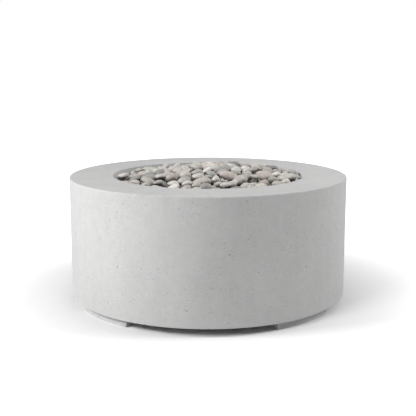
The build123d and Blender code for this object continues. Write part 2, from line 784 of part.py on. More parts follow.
with BuildPart() as pilot_bracket:
    with BuildSketch(Plane.XY.offset(pan_floor)):
        with Locations((pilot_x, pilot_y)):
            Rectangle(pilot_plate_length, pilot_plate_width)
        with Locations((probe_x, pilot_y)):
            Circle(probe_radius + fit_gap, mode=Mode.SUBTRACT)
        with Locations((igniter_x, pilot_y)):
            Circle(electrode_radius + fit_gap, mode=Mode.SUBTRACT)
    extrude(amount=pilot_plate)
    with BuildSketch(Plane.XY.offset(pan_floor)):
        with Locations((pilot_x, pilot_y + (pilot_plate_width - pilot_plate) / 2)):
            Rectangle(pilot_plate_length, pilot_plate)
    extrude(amount=pilot_plate_rise)
save(pilot_bracket.part, "pilot_bracket")

with BuildPart() as flame_sensor:
    with BuildSketch(Plane.XY.offset(sensor_end)):
        with Locations((probe_x, pilot_y)):
            Circle(probe_radius)
    extrude(amount=plate_top + probe_rise - sensor_end)
    fillet(flame_sensor.faces().sort_by(Axis.Z)[-1].edges(), probe_radius / 2)
    with BuildSketch(Plane.XY.offset(plate_top)):
        with Locations((probe_x, pilot_y)):
            Circle(sensor_collar_radius)
    extrude(amount=sensor_collar_height)
save(flame_sensor.part, "flame_sensor")

with BuildPart() as spark_insulator:
    with BuildSketch(Plane.XY.offset(sensor_end)):
        with Locations((igniter_x, pilot_y)):
            Circle(electrode_radius)
    extrude(amount=plate_top + electrode_rise - sensor_end)
    with BuildSketch(Plane.XY.offset(plate_top)):
        with Locations((igniter_x, pilot_y)):
            Circle(sensor_collar_radius)
    extrude(amount=sensor_collar_height)
save(spark_insulator.part, "spark_insulator")

spark_z = plate_top + electrode_rise
spark_plane = Plane(origin=(igniter_x, pilot_y, spark_z), x_dir=(-1, 0, 0), z_dir=(0, 1, 0))
with BuildLine(spark_plane) as spark_route:
    FilletPolyline((0, 0), (0, spark_rod_rise), (spark_rod_reach, spark_rod_rise), radius=spark_rod_bend)
save(tube_along(spark_route.wires()[0], spark_rod_radius), "spark_rod")

with BuildPart() as stone_guard:
    with BuildSketch(Plane.XY.offset(pan_floor)):
        with Locations((pilot_x, pilot_y)):
            RectangleRounded(guard_length, guard_width, guard_round)
    extrude(amount=guard_height)
    with BuildSketch(Plane.XY.offset(pan_floor)):
        with Locations((pilot_x, pilot_y)):
            RectangleRounded(
                guard_length - 2 * guard_sheet, guard_width - 2 * guard_sheet, guard_round - guard_sheet
            )
    extrude(amount=guard_height - guard_sheet, mode=Mode.SUBTRACT)
    slot_middle = (pilot_x, pilot_y - guard_width / 2, pan_floor + guard_height / 2)
    slot_plane = Plane(origin=slot_middle, x_dir=(1, 0, 0), z_dir=(0, -1, 0))
    with BuildSketch(slot_plane):
        with GridLocations(guard_slot_pitch, 0, guard_slot_count, 1):
            SlotOverall(guard_slot_height, guard_slot_width, rotation=90)
    extrude(amount=-guard_sheet, mode=Mode.SUBTRACT)
save(stone_guard.part, "stone_guard")

# Lines from the sensor and the electrode to the valve and the igniter
lead_end_y = tray_y + igniter_back - igniter_tail
spark_lead_plane = Plane(origin=(igniter_x, 0, 0), x_dir=(0, 1, 0), z_dir=(1, 0, 0))
with BuildLine(spark_lead_plane) as spark_lead_route:
    FilletPolyline(
        (pilot_y, sensor_end), (pilot_y, control_height), (lead_end_y, control_height), radius=lead_bend
    )
save(tube_along(spark_lead_route.wires()[0], spark_lead_radius), "spark_lead")

sensor_nut_plane = valve_plane.offset(valve_back - magnet_head_length)
sensor_nut_end = tray_y + valve_back - magnet_head_length - sensor_nut_length
sensor_nut_bore = sensor_lead_radius + fit_gap
save(hex_ring(sensor_nut_plane, sensor_nut_flats, sensor_nut_bore, -sensor_nut_length), "sensor_nut")
with BuildLine() as sensor_lead_route:
    FilletPolyline(
        (probe_x, pilot_y, sensor_end),
        (probe_x, pilot_y, sensor_end - sensor_turn_drop),
        (valve_x, sensor_nut_end - sensor_run_in, control_height),
        (valve_x, sensor_nut_end + sensor_nut_length, control_height),
        radius=lead_bend / 2,
    )
save(tube_along(sensor_lead_route.wires()[0], sensor_lead_radius), "sensor_lead")

# Gas inlet: pipe from the valve, fitting on a wall bracket, lock nut and bracket screws
boss_under = control_height - port_boss_reach
plate_z = taper_top + inlet_plate_rise
inlet_top = plate_z + inlet_plate + inlet_body_height
wall_y = (cavity_radius**2 - (abs(valve_x) + inlet_plate_width / 2) ** 2) ** 0.5
leg_y = wall_y - fit_gap

with BuildPart() as inlet_pipe:
    with BuildSketch(Plane(origin=(valve_x, port_y, inlet_top))):
        Circle(inlet_pipe_radius)
        Circle(inlet_pipe_radius - inlet_pipe_wall, mode=Mode.SUBTRACT)
    extrude(amount=boss_under - inlet_top)
save(inlet_pipe.part, "inlet_pipe")
inlet_nut_plane = Plane(origin=(valve_x, port_y, boss_under))
inlet_nut_bore = inlet_pipe_radius + fit_gap
save(hex_ring(inlet_nut_plane, inlet_nut_flats, inlet_nut_bore, -inlet_nut_length), "inlet_nut")

with BuildPart() as inlet_bracket:
    with BuildSketch(Plane(origin=(valve_x, port_y, plate_z))):
        with Locations((0, (leg_y - port_y - inlet_plate_front) / 2)):
            Rectangle(inlet_plate_width, leg_y - port_y + inlet_plate_front)
        Circle(inlet_shank_radius + fit_gap, mode=Mode.SUBTRACT)
    extrude(amount=inlet_plate)
    with BuildSketch(Plane(origin=(valve_x, leg_y - inlet_plate / 2, plate_z))):
        Rectangle(inlet_plate_width, inlet_plate)
    extrude(amount=inlet_leg)
    with BuildSketch(Plane(origin=(valve_x, leg_y, inlet_screw_z), x_dir=(1, 0, 0), z_dir=(0, 1, 0))):
        with GridLocations(inlet_screw_spacing, 0, 2, 1):
            Circle(inlet_screw_radius + fit_gap)
    extrude(amount=-inlet_plate, mode=Mode.SUBTRACT)
save(inlet_bracket.part, "inlet_bracket")

with BuildPart() as inlet_fitting:
    with BuildSketch(Plane(origin=(valve_x, port_y, plate_z + inlet_plate))):
        RegularPolygon(inlet_nut_flats / 2, 6, major_radius=False)
    extrude(amount=inlet_body_height)
    with BuildSketch(Plane(origin=(valve_x, port_y, plate_z + inlet_plate))):
        Circle(inlet_shank_radius)
    extrude(amount=-(inlet_plate + inlet_lock_thickness))
    with BuildSketch(Plane(origin=(valve_x, port_y, plate_z - inlet_lock_thickness))):
        Circle(inlet_thread_radius)
    extrude(amount=-inlet_thread_length)
    with BuildSketch(Plane(origin=(valve_x, port_y, inlet_top))):
        Circle(inlet_bore)
    extrude(amount=plate_z - inlet_lock_thickness - inlet_thread_length - inlet_top, mode=Mode.SUBTRACT)
save(inlet_fitting.part, "inlet_fitting")
lock_plane = Plane(origin=(valve_x, port_y, plate_z))
lock_bore = inlet_shank_radius + fit_gap
save(hex_ring(lock_plane, inlet_nut_flats, lock_bore, -inlet_lock_thickness), "inlet_lock_nut")

screw_middle = (valve_x, leg_y - inlet_plate, inlet_screw_z)
screw_plane = Plane(origin=screw_middle, x_dir=(1, 0, 0), z_dir=(0, 1, 0))
with BuildPart() as inlet_screws:
    with BuildSketch(screw_plane):
        with GridLocations(inlet_screw_spacing, 0, 2, 1):
            Circle(inlet_screw_head)
    extrude(amount=-inlet_screw_head_height)
    with BuildSketch(screw_plane):
        with GridLocations(inlet_screw_spacing, 0, 2, 1):
            Circle(inlet_screw_radius)
    extrude(amount=inlet_plate + inlet_screw_reach)
save(inlet_screws.part, "inlet_screws")

# Stones that stand out, nearest the front first, as they are seen in the photograph. Each row has
# the pixel at the stone's middle, across and down, half its length and half its height in pixels,
# the tilt of its long axis in degrees and its tone.
seen_stones = [
    (219, 183.5, 4.2, 2.5, 5, "white"),
    (172.5, 183.3, 6.0, 3.2, 0, "white"),
    (240, 183, 8.5, 5.6, 24, "white"),
    (254, 184, 5.8, 2.4, -6, "white"),
    (159, 183.2, 5.4, 2.3, -14, "grey"),
    (202, 181.5, 9.4, 4.7, 6, "sand"),
    (230, 181.5, 6.6, 3.4, 14, "white"),
    (148, 181.4, 8.6, 3.7, -24, "white"),
    (135.5, 181.3, 4.2, 2.4, -14, "grey"),
    (264.5, 179, 9.0, 5.5, -18, "rose"),
    (185, 178.5, 7.2, 5.9, 26, "sand"),
    (215.5, 178, 3.8, 3.3, 20, "white"),
    (285.5, 179.3, 10.6, 4.2, 10, "white"),
    (246, 177.3, 5.6, 3.0, 10, "grey"),
    (172, 177, 6.8, 4.9, 16, "rose"),
    (153, 177.3, 7.8, 3.6, -15, "green"),
    (124, 178, 6.6, 2.8, -8, "rose"),
    (255, 175.8, 4.8, 2.4, -10, "white"),
    (229, 174.3, 10.2, 5.2, -22, "rose"),
    (211.5, 173.5, 5.4, 3.4, -28, "grey"),
    (138.5, 173.6, 3.6, 3.0, 10, "white"),
    (133, 173.5, 4.4, 2.8, 76, "white"),
    (147, 173, 6.0, 3.2, 20, "white"),
    (196.5, 172.5, 6.6, 3.7, 15, "green"),
    (163.5, 171.5, 8.6, 3.5, 52, "white"),
    (121, 172.8, 6.4, 3.0, 5, "white"),
    (274.5, 172.3, 6.4, 3.7, 0, "rose"),
    (292, 172, 5.4, 3.5, -20, "grey"),
    (249, 171.3, 8.2, 3.5, 24, "green"),
    (206, 170.5, 5.8, 2.7, 28, "white"),
    (284, 171.5, 4.2, 3.0, 0, "white"),
    (190, 170, 4.2, 2.6, 38, "white"),
    (222, 168, 5.8, 3.4, 18, "rose"),
    (237, 168.3, 5.0, 3.6, -28, "green"),
    (180.5, 168.5, 5.0, 3.2, -36, "sand"),
    (150.5, 168, 8.8, 4.0, -15, "green"),
    (260, 168.3, 5.6, 3.7, -40, "green"),
    (175, 167.3, 6.6, 3.2, 34, "white"),
    (272.5, 167, 7.6, 3.0, -12, "grey"),
    (246, 167.3, 5.0, 2.6, 10, "white"),
    (139, 168.6, 5.0, 2.5, 5, "white"),
    (163, 166.5, 5.2, 2.8, -28, "rose"),
    (187, 166.5, 4.0, 2.8, 15, "grey"),
    (196, 164.8, 5.4, 3.3, 5, "green"),
    (208.5, 163.6, 5.8, 3.1, 14, "white"),
    (170, 164.4, 5.0, 2.7, 10, "grey"),
    (220, 161.8, 5.0, 2.8, 20, "sand"),
    (228.5, 161.6, 4.4, 3.0, 66, "sand"),
    (237.5, 161.4, 4.4, 3.1, 0, "white"),
    (154, 163.6, 4.4, 2.7, -15, "grey"),
]
# The photograph's view: a lens that is so many picture widths long, turned and pitched in degrees.
picture_width = 416
lens_share = 69.46 / 36
view_turn = 2.8
view_pitch = 10.51
# Stones in the far half, above this pixel row, stand less proud of the crown.
far_half_row = 170
crown_pull_share = 0.1098
size_places = 2
turn_limit = 18.0
turn_seed = 3
tone_names = ("white", "grey", "sand", "rose", "green")
tone_shares = (0.40, 0.22, 0.16, 0.12, 0.10)
heap_centre_share = (0.15, 0.0)
river_length_shares = (0.54, 0.98)
river_width_shares = (0.70, 0.92)
river_height_shares = (0.42, 0.66)
rock_size_shares = (0.78, 1.12)
tilt_limit = 24.0
random_seed = 11
misses_allowed = 30
contact_mix = np.linspace(0.04, 0.96, 24)

grid_count = int(2 * opening_radius / stone_grid) + 1
grid_line = (np.arange(grid_count) - (grid_count - 1) / 2) * stone_grid
grid_x, grid_y = np.meshgrid(grid_line, grid_line, indexing="ij")
draw = np.random.default_rng(random_seed)


def bed_height(x, y, margin):
    """What the stones lie on at each place: the pan, the burner and the guard, widened by a margin."""
    rho = np.hypot(x, y)
    corner = np.clip(rho + margin - pan_inner_radius + pan_bend, 0, pan_bend)
    floor = pan_floor + pan_bend - np.sqrt(pan_bend**2 - corner**2)
    bed = np.where(rho + margin < pan_inner_radius, floor, flange_top)
    bed = np.where(rho + margin < opening_radius, bed, np.inf)
    arm_off = np.where(rho < burner_ring_radius, np.minimum(np.abs(x), np.abs(y)), np.inf)
    for off, radius in (
        (np.abs(rho - burner_ring_radius), burner_tube_radius),
        (np.abs(rho - burner_core_radius), burner_tube_radius),
        (arm_off, arm_radius),
    ):
        off = np.clip(off - margin, 0, None)
        tube = burner_z + np.sqrt(np.clip(radius**2 - off**2, 0, None))
        bed = np.where(off < radius, np.maximum(bed, tube), bed)
    for quarter in range(4):
        turn = radians(45 + 90 * quarter)
        along = np.abs(x * cos(turn) + y * sin(turn) - burner_ring_radius) - margin
        across = np.abs(y * cos(turn) - x * sin(turn)) - margin
        over_stand = (along < stand_length / 2) & (across < stand_width / 2)
        bed = np.where(over_stand, np.maximum(bed, pan_floor + burner_lift + stand_bite), bed)
    over_guard = np.abs(x - pilot_x) - margin < guard_length / 2
    over_guard &= np.abs(y - pilot_y) - margin < guard_width / 2
    bed = np.where(over_guard, pan_floor + guard_height, bed)
    return np.where(rho - margin < hub_radius, hub_base + hub_height, bed) + stone_gap


def crown(edge_drop, rise):
    """The height that the filled-in stones stay under: a low crown, a little right of the centre."""
    centre_x, centre_y = (share * opening_radius for share in heap_centre_share)
    off = np.hypot(grid_x - centre_x, grid_y - centre_y) / opening_radius
    return rim_height - edge_drop + rise * np.clip(1 - off**2, 0, 1)


def seen_at(x, y, z):
    """Where points show in the photograph, in pixels across and down."""
    turn, pitch = radians(view_turn), radians(view_pitch)
    right = x * cos(turn) + y * sin(turn)
    ahead = y * cos(turn) - x * sin(turn) + view_distance
    below = view_height - z
    depth = ahead * cos(pitch) + below * sin(pitch)
    lens = lens_share * picture_width
    across = picture_width / 2 + lens * right / depth
    return across, picture_width / 2 + lens * (below * cos(pitch) - ahead * sin(pitch)) / depth


def seen_size(pixels):
    """The real size of what covers so many pixels on the heap, to a hundredth of a stone's length."""
    return stone_length * round(pixels * pixel_size / stone_length, size_places)


def axes_of(turn, tilt, roll):
    """The three axes of a stone that is turned about Z, then tilted and rolled, all in degrees."""
    turn, tilt, roll = radians(turn), radians(tilt), radians(roll)
    long_axis = np.array([cos(turn) * cos(tilt), sin(turn) * cos(tilt), sin(tilt)])
    up = np.array([-cos(turn) * sin(tilt), -sin(turn) * sin(tilt), cos(tilt)])
    across = np.cross(up, long_axis)
    up, across = up * cos(roll) - across * sin(roll), across * cos(roll) + up * sin(roll)
    return np.column_stack([long_axis, across, up])


def bed_rest(form, centre):
    """The lowest that a stone's centre can lie over one place on the bare bed."""
    quad = np.linalg.inv(form)
    lines = [np.arange(-(form[k, k] ** 0.5), form[k, k] ** 0.5, bed_step) for k in (0, 1)]
    x, y = np.meshgrid(*lines, indexing="ij")
    slope = quad[0, 2] * x + quad[1, 2] * y
    level = quad[0, 0] * x**2 + 2 * quad[0, 1] * x * y + quad[1, 1] * y**2 - 1
    inside = slope**2 - quad[2, 2] * level
    low = (-slope - np.sqrt(np.clip(inside, 0, None))) / quad[2, 2]
    bed = bed_height(centre[0] + x, centre[1] + y, bed_step / 2)
    return (bed - low)[inside > 0].max()


class Heap:
    """Stones dropped one by one onto a bed, each an ellipsoid that touches what lies under it."""

    def __init__(self):
        self.surface = bed_height(grid_x, grid_y, stone_grid)
        self.centres = np.empty((0, 3))
        self.forms = np.empty((0, 3, 3))
        self.reaches = np.empty(0)

    def print_of(self, form):
        """Grid steps under a stone, with its lower and upper surface at each, from its centre."""
        quad = np.linalg.inv(form)
        steps = [int(form[k, k] ** 0.5 / stone_grid) + 1 for k in (0, 1)]
        rows = []
        for i in range(-steps[0], steps[0] + 1):
            for j in range(-steps[1], steps[1] + 1):
                x, y = i * stone_grid, j * stone_grid
                slope = quad[0, 2] * x + quad[1, 2] * y
                level = quad[0, 0] * x * x + 2 * quad[0, 1] * x * y + quad[1, 1] * y * y - 1
                inside = slope * slope - quad[2, 2] * level
                if inside > 0:
                    root = inside**0.5
                    rows.append((i, j, (-slope - root) / quad[2, 2], (-slope + root) / quad[2, 2]))
        return steps, rows

    def rest_map(self, axes, halves):
        """The most that a stone's centre can lie at if it comes to rest over each point of the grid."""
        steps, rows = self.print_of(inflated(axes, halves + stone_grid / 2))
        padded = np.pad(self.surface, ((steps[0],) * 2, (steps[1],) * 2), constant_values=np.inf)
        rest = np.full_like(self.surface, -np.inf)
        for i, j, low, high in rows:
            part = padded[steps[0] + i :, steps[1] + j :][:grid_count, :grid_count]
            np.maximum(rest, part - low, out=rest)
        return rest

    def is_clear(self, centre, form, near):
        """Whether two ellipsoids never meet, for a stone and each of its neighbours."""
        if not near.any():
            return True
        way = self.centres[near] - centre
        mix = contact_mix[:, None, None]
        forms = (1 - mix) * form + mix * self.forms[near][:, None]
        solved = np.linalg.solve(forms, np.broadcast_to(way[:, None, :, None], forms.shape[:-1] + (1,)))
        contact = contact_mix * (1 - contact_mix) * np.einsum("nk,nmk->nm", way, solved[..., 0])
        return contact.max(axis=1).min() >= 1

    def drop(self, column, row, guess, form):
        """Lower a stone at a grid point until it touches, and remember it."""
        reach = np.linalg.eigvalsh(form)[-1] ** 0.5
        centre = np.array([grid_line[column], grid_line[row], guess + 2 * stone_grid])
        off = np.hypot(*(self.centres[:, :2] - centre[:2]).T)
        near = off < reach + self.reaches
        floor = bed_rest(form, centre)
        step = stone_grid / 2
        while not self.is_clear(centre, form, near):
            centre[2] += step
        while centre[2] - step > floor and self.is_clear(centre - [0, 0, step], form, near):
            centre[2] -= step
        low = max(floor, centre[2] - step)
        high = centre[2]
        for halving in range(6):
            centre[2] = (low + high) / 2
            if self.is_clear(centre, form, near):
                high = centre[2]
            else:
                low = centre[2]
        centre[2] = high
        self.centres = np.vstack([self.centres, centre])
        self.forms = np.concatenate([self.forms, form[None]])
        self.reaches = np.append(self.reaches, reach)
        for i, j, below, above in self.print_of(form)[1]:
            here = (column + i, row + j)
            if 0 <= min(here) and max(here) < grid_count:
                self.surface[here] = max(self.surface[here], centre[2] + above)
        return centre


def stone_solid(centre, axes, halves):
    """One stone as an ellipsoid solid."""
    with BuildPart() as stone:
        Sphere(1)
        scale(by=tuple(float(half) for half in halves))
    place = Plane(origin=tuple(map(float, centre)), x_dir=tuple(axes[:, 0]), z_dir=tuple(axes[:, 2]))
    return stone.part.solids()[0].moved(place.location)


def inflated(axes, halves):
    """A stone's shape matrix, half the stone gap larger all round."""
    return axes @ np.diag((np.asarray(halves) + stone_gap / 2) ** 2) @ axes.T


def fill(heap, ceiling, new_stone, solids):
    """Drop stones into the lowest places under a ceiling until none is left."""
    misses = 0
    while misses < misses_allowed:
        halves, axes, tone = new_stone()
        form = inflated(axes, halves)
        rest = heap.rest_map(axes, halves)
        level = np.where(rest + form[2, 2] ** 0.5 < ceiling, rest, np.inf)
        if not np.isfinite(level).any():
            misses += 1
            continue
        column, row = np.unravel_index(np.argmin(level), level.shape)
        centre = heap.drop(column, row, rest[column, row], form)
        solids[tone].append(stone_solid(centre, axes, halves))
        misses = 0


def new_rock():
    """A lava rock of a random size, lying about flat."""
    sizes = np.array([rock_length, rock_width, rock_height]) * draw.uniform(*rock_size_shares)
    axes = axes_of(draw.uniform(0, 180), *draw.uniform(-tilt_limit, tilt_limit, 2))
    return sizes / 2, axes, "rock"


def new_river_stone():
    """A river stone of a random size and tone, lying about flat."""
    length = stone_length * draw.uniform(*river_length_shares)
    width = length * draw.uniform(*river_width_shares)
    height = length * draw.uniform(*river_height_shares)
    axes = axes_of(draw.uniform(0, 180), *draw.uniform(-tilt_limit, tilt_limit, 2))
    return np.array([length, width, height]) / 2, axes, draw.choice(tone_names, p=tone_shares)


heap = Heap()
ceiling = crown(heap_edge_drop, heap_rise)
stone_solids = {tone: [] for tone in ("rock", *tone_names)}
fill(heap, crown(rock_edge_drop, rock_rise), new_rock, stone_solids)
fill(heap, ceiling - under_drop, new_river_stone, stone_solids)
turns = np.random.default_rng(turn_seed).uniform(-turn_limit, turn_limit, len(seen_stones)).round()
for turn, (across, down, half_length, half_height, tilt, tone) in zip(turns, seen_stones):
    length, height = (seen_size(2 * half) for half in (half_length, half_height))
    halves = np.array([length, (length + height) / 2, height]) / 2
    axes = axes_of(turn, tilt, 0)
    form = inflated(axes, halves)
    rest = heap.rest_map(axes, halves)
    proud = rest + form[2, 2] ** 0.5 - ceiling
    allowed = (proud > -sunk_limit) & (proud < (near_proud_limit if down > far_half_row else far_proud_limit))
    seen_across, seen_down = seen_at(grid_x, grid_y, np.where(allowed, rest, rim_height))
    miss = np.hypot(seen_across - across, seen_down - down) + crown_pull_share * np.abs(proud) / pixel_size
    miss = np.where(allowed, miss, np.inf)
    column, row = np.unravel_index(np.argmin(miss), miss.shape)
    if allowed[column, row]:
        centre = heap.drop(column, row, rest[column, row], form)
        stone_solids[tone].append(stone_solid(centre, axes, halves))
fill(heap, ceiling, new_river_stone, stone_solids)

for tone, solids in stone_solids.items():
    name = "lava_rocks" if tone == "rock" else f"river_stones_{tone}"
    save(Compound(children=solids), name)
    print(name, len(solids), "solids")
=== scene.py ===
import logging
import math
from dataclasses import dataclass, field
from enum import Enum
from functools import partial, reduce

import bmesh
import bpy
import numpy as np
from mathutils import Matrix, Vector


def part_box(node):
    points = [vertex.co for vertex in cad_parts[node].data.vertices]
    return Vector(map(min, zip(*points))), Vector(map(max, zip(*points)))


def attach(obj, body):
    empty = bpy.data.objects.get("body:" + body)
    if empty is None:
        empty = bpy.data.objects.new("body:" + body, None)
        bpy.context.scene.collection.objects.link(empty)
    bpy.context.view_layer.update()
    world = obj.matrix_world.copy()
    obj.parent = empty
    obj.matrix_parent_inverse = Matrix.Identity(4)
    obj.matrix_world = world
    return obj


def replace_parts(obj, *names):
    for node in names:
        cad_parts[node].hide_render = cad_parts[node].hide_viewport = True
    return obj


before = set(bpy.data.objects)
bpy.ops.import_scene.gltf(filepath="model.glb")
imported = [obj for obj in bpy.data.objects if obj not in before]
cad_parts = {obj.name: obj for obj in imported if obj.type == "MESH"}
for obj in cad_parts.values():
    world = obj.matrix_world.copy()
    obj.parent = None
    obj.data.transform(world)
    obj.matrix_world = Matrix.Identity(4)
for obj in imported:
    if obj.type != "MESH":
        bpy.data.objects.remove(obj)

log = logging.getLogger("fire_pit")
Colour = tuple[float, float, float]
Triple = tuple[float, float, float]
Span = tuple[float, float]
Socket = bpy.types.NodeSocket
ROOT_BODY = "body"
WHITE: Colour = (1.0, 1.0, 1.0)
LEVEL: Triple = (1.0, 1.0, 0.0)  # leaves a place without its height
NOISE_MIDDLE: Triple = (0.5, 0.5, 0.5)
NOISE_REACH: Span = (0.3, 0.7)  # where most of Blender's noise lies


class Graph:
    """A node tree that is filled by short calls, for materials, the world and Geometry Nodes."""

    # A Mix node's sockets for colours share their names with others, so they go by place
    MIX_SHARE, MIX_FIRST, MIX_SECOND, MIX_RESULT = 0, 6, 7, 2
    SEEN_RAYS = ("Is Camera Ray", "Is Glossy Ray", "Is Transmission Ray")

    def __init__(self, tree: bpy.types.NodeTree) -> None:
        """Keep the tree that the calls fill."""
        self.tree = tree

    def node(self, kind: str, feeds: dict | None = None, **settings: object) -> bpy.types.Node:
        """Add one node.

        Args:
            kind: Blender's name for the node's type.
            feeds: Values or sockets for its inputs, by name or place.
            settings: Properties of the node itself.

        Returns:
            The new node.
        """
        new = self.tree.nodes.new(kind)
        for key, value in settings.items():
            setattr(new, key, value)
        for key, value in (feeds or {}).items():
            self.feed(new.inputs[key], value)
        return new

    def feed(self, socket: Socket, value: object) -> None:
        """Link an input to another node's output, or set its own value.

        Args:
            socket: The input.
            value: The output, or a plain value; a colour gets full opacity.
        """
        if isinstance(value, Socket):
            self.tree.links.new(value, socket)
        elif socket.type == "RGBA":
            socket.default_value = (*value, 1.0)
        else:
            socket.default_value = value

    def math(self, operation: str, *values: object) -> Socket:
        """Add a math node, such as ADD, and give its result."""
        return self.node("ShaderNodeMath", dict(enumerate(values)), operation=operation).outputs[0]

    def chain(self, operation: str, *values: object) -> Socket:
        """Join two or more values in turn by one operation, such as MAXIMUM."""
        return reduce(partial(self.math, operation), values)

    def times(self, *values: object) -> Socket:
        """Multiply two or more values."""
        return self.chain("MULTIPLY", *values)

    def vector(self, operation: str, *values: object) -> Socket:
        """Add a vector math node.

        Args:
            operation: What it does, such as ADD.
            values: Its inputs in order; for SCALE the second is the factor.

        Returns:
            Its vector, or its number for LENGTH.
        """
        keys = (0, "Scale") if operation == "SCALE" else (0, 1)
        new = self.node("ShaderNodeVectorMath", dict(zip(keys, values)), operation=operation)
        return new.outputs["Value" if operation == "LENGTH" else "Vector"]

    def axis(self, place: Socket, letter: str) -> Socket:
        """Give one coordinate of a place, by its letter."""
        return self.node("ShaderNodeSeparateXYZ", {"Vector": place}).outputs[letter]

    def span(self, value: Socket, reach: Span, low: object, high: object) -> Socket:
        """Carry a value from the ends of its reach to low and high, clamped."""
        feeds = {"Value": value, "From Min": reach[0], "From Max": reach[1], "To Min": low, "To Max": high}
        return self.node("ShaderNodeMapRange", feeds, clamp=True).outputs["Result"]

    def mix(self, share: Socket, first: object, second: object) -> Socket:
        """Mix a share of the second colour into the first."""
        feeds = {self.MIX_SHARE: share, self.MIX_FIRST: first, self.MIX_SECOND: second}
        return self.node("ShaderNodeMix", feeds, data_type="RGBA").outputs[self.MIX_RESULT]

    def looked_at(self) -> Socket:
        """Give 1 to rays from the eye, also by way of metal or glass, and 0 to those that gather light."""
        rays = self.node("ShaderNodeLightPath").outputs
        return self.chain("MAXIMUM", *(rays[name] for name in self.SEEN_RAYS))


@dataclass(frozen=True)
class Noise:
    """One layer of noise: waves to the metre, octaves, their roughness, and the factors it stands for."""

    scale: float
    detail: float
    roughness: float
    low: float = 0.0
    high: float = 1.0
    reach: Span = NOISE_REACH


class Surface(Graph):
    """A new material with a Principled shader, read on Object coordinates."""

    def __init__(self, name: str) -> None:
        """Make the material.

        Args:
            name: The material's name.
        """
        self.material = bpy.data.materials.new(name)
        self.material.use_nodes = True
        super().__init__(self.material.node_tree)
        self.shader = self.tree.nodes["Principled BSDF"]
        self.place = self.node("ShaderNodeTexCoord").outputs["Object"]

    def noise(self, layer: Noise, place: Socket | None = None) -> tuple[Socket, Socket]:
        """Lay noise on the surface.

        Args:
            layer: The layer of noise.
            place: Where it is read, if not at plain Object coordinates.

        Returns:
            The noise itself, from 0 to 1, and the factor that it stands for.
        """
        feeds = {
            "Vector": self.place if place is None else place,
            "Scale": layer.scale,
            "Detail": layer.detail,
            "Roughness": layer.roughness,
        }
        raw = self.node("ShaderNodeTexNoise", feeds).outputs["Fac"]
        return raw, self.span(raw, layer.reach, layer.low, layer.high)

    def swirl(self, scale: float, detail: float) -> Socket:
        """Give a noise that differs by axis, for pushing coordinates about."""
        feeds = {"Vector": self.place, "Scale": scale, "Detail": detail}
        return self.node("ShaderNodeTexNoise", feeds).outputs["Color"]

    def stretched(self, scales: Triple) -> Socket:
        """Give the coordinates, scaled by axis."""
        return self.node("ShaderNodeMapping", {"Vector": self.place, "Scale": scales}).outputs["Vector"]

    def attribute(self, name: str) -> Socket:
        """Read a number that the mesh carries."""
        return self.node("ShaderNodeAttribute", attribute_name=name).outputs["Fac"]

    def uneven(self, raw: Socket, middle: float, spread: Span) -> Socket:
        """Let a value follow a noise, by a spread about its middle."""
        return self.span(raw, NOISE_REACH, middle + spread[0], middle + spread[1])

    def relief(self, height: Socket, depth: float, strength: float) -> None:
        """Give the shader a bump, with the depth in metres that a height of 1 stands for."""
        feeds = {"Height": height, "Distance": depth, "Strength": strength}
        self.feed(self.shader.inputs["Normal"], self.node("ShaderNodeBump", feeds).outputs["Normal"])

    def close(self, inputs: dict[str, object]) -> bpy.types.Material:
        """Set the shader's main inputs.

        Args:
            inputs: Values or sockets by the input's name.

        Returns:
            The finished material.
        """
        for name, value in inputs.items():
            self.feed(self.shader.inputs[name], value)
        return self.material


@dataclass(frozen=True)
class Pinholes:
    """Open holes in a casting: metres between places, largest radius in metres, share of places with one."""

    spacing: float
    radius: float
    share: float
    smallest: float = 0.35  # of the largest radius
    waver: float = 1.6  # push on the outline, in radii
    waver_scale: float = 260.0
    waver_detail: float = 2.0
    soft_edge: Span = (0.55, 1.0)  # in radii

    def scatter(self, surface: Surface) -> Socket:
        """Scatter the holes over a surface.

        Args:
            surface: The material.

        Returns:
            1 in a hole, 0 outside.
        """
        swirl = surface.swirl(self.waver_scale, self.waver_detail)
        centred = surface.vector("SUBTRACT", swirl, NOISE_MIDDLE)
        shift = surface.vector("SCALE", centred, self.waver * self.radius)
        where = surface.vector("ADD", surface.place, shift)
        cells = surface.node("ShaderNodeTexVoronoi", {"Vector": where, "Scale": 1.0 / self.spacing}).outputs
        lot = surface.node("ShaderNodeSeparateColor", {"Color": cells["Color"]}).outputs["Red"]
        least = 1.0 - self.share
        size = surface.span(lot, (least, 1.0), self.smallest, 1.0)
        out = surface.math("DIVIDE", cells["Distance"], surface.times(size, self.radius / self.spacing))
        chosen = surface.math("GREATER_THAN", lot, least)
        return surface.times(surface.span(out, self.soft_edge, 1.0, 0.0), chosen)


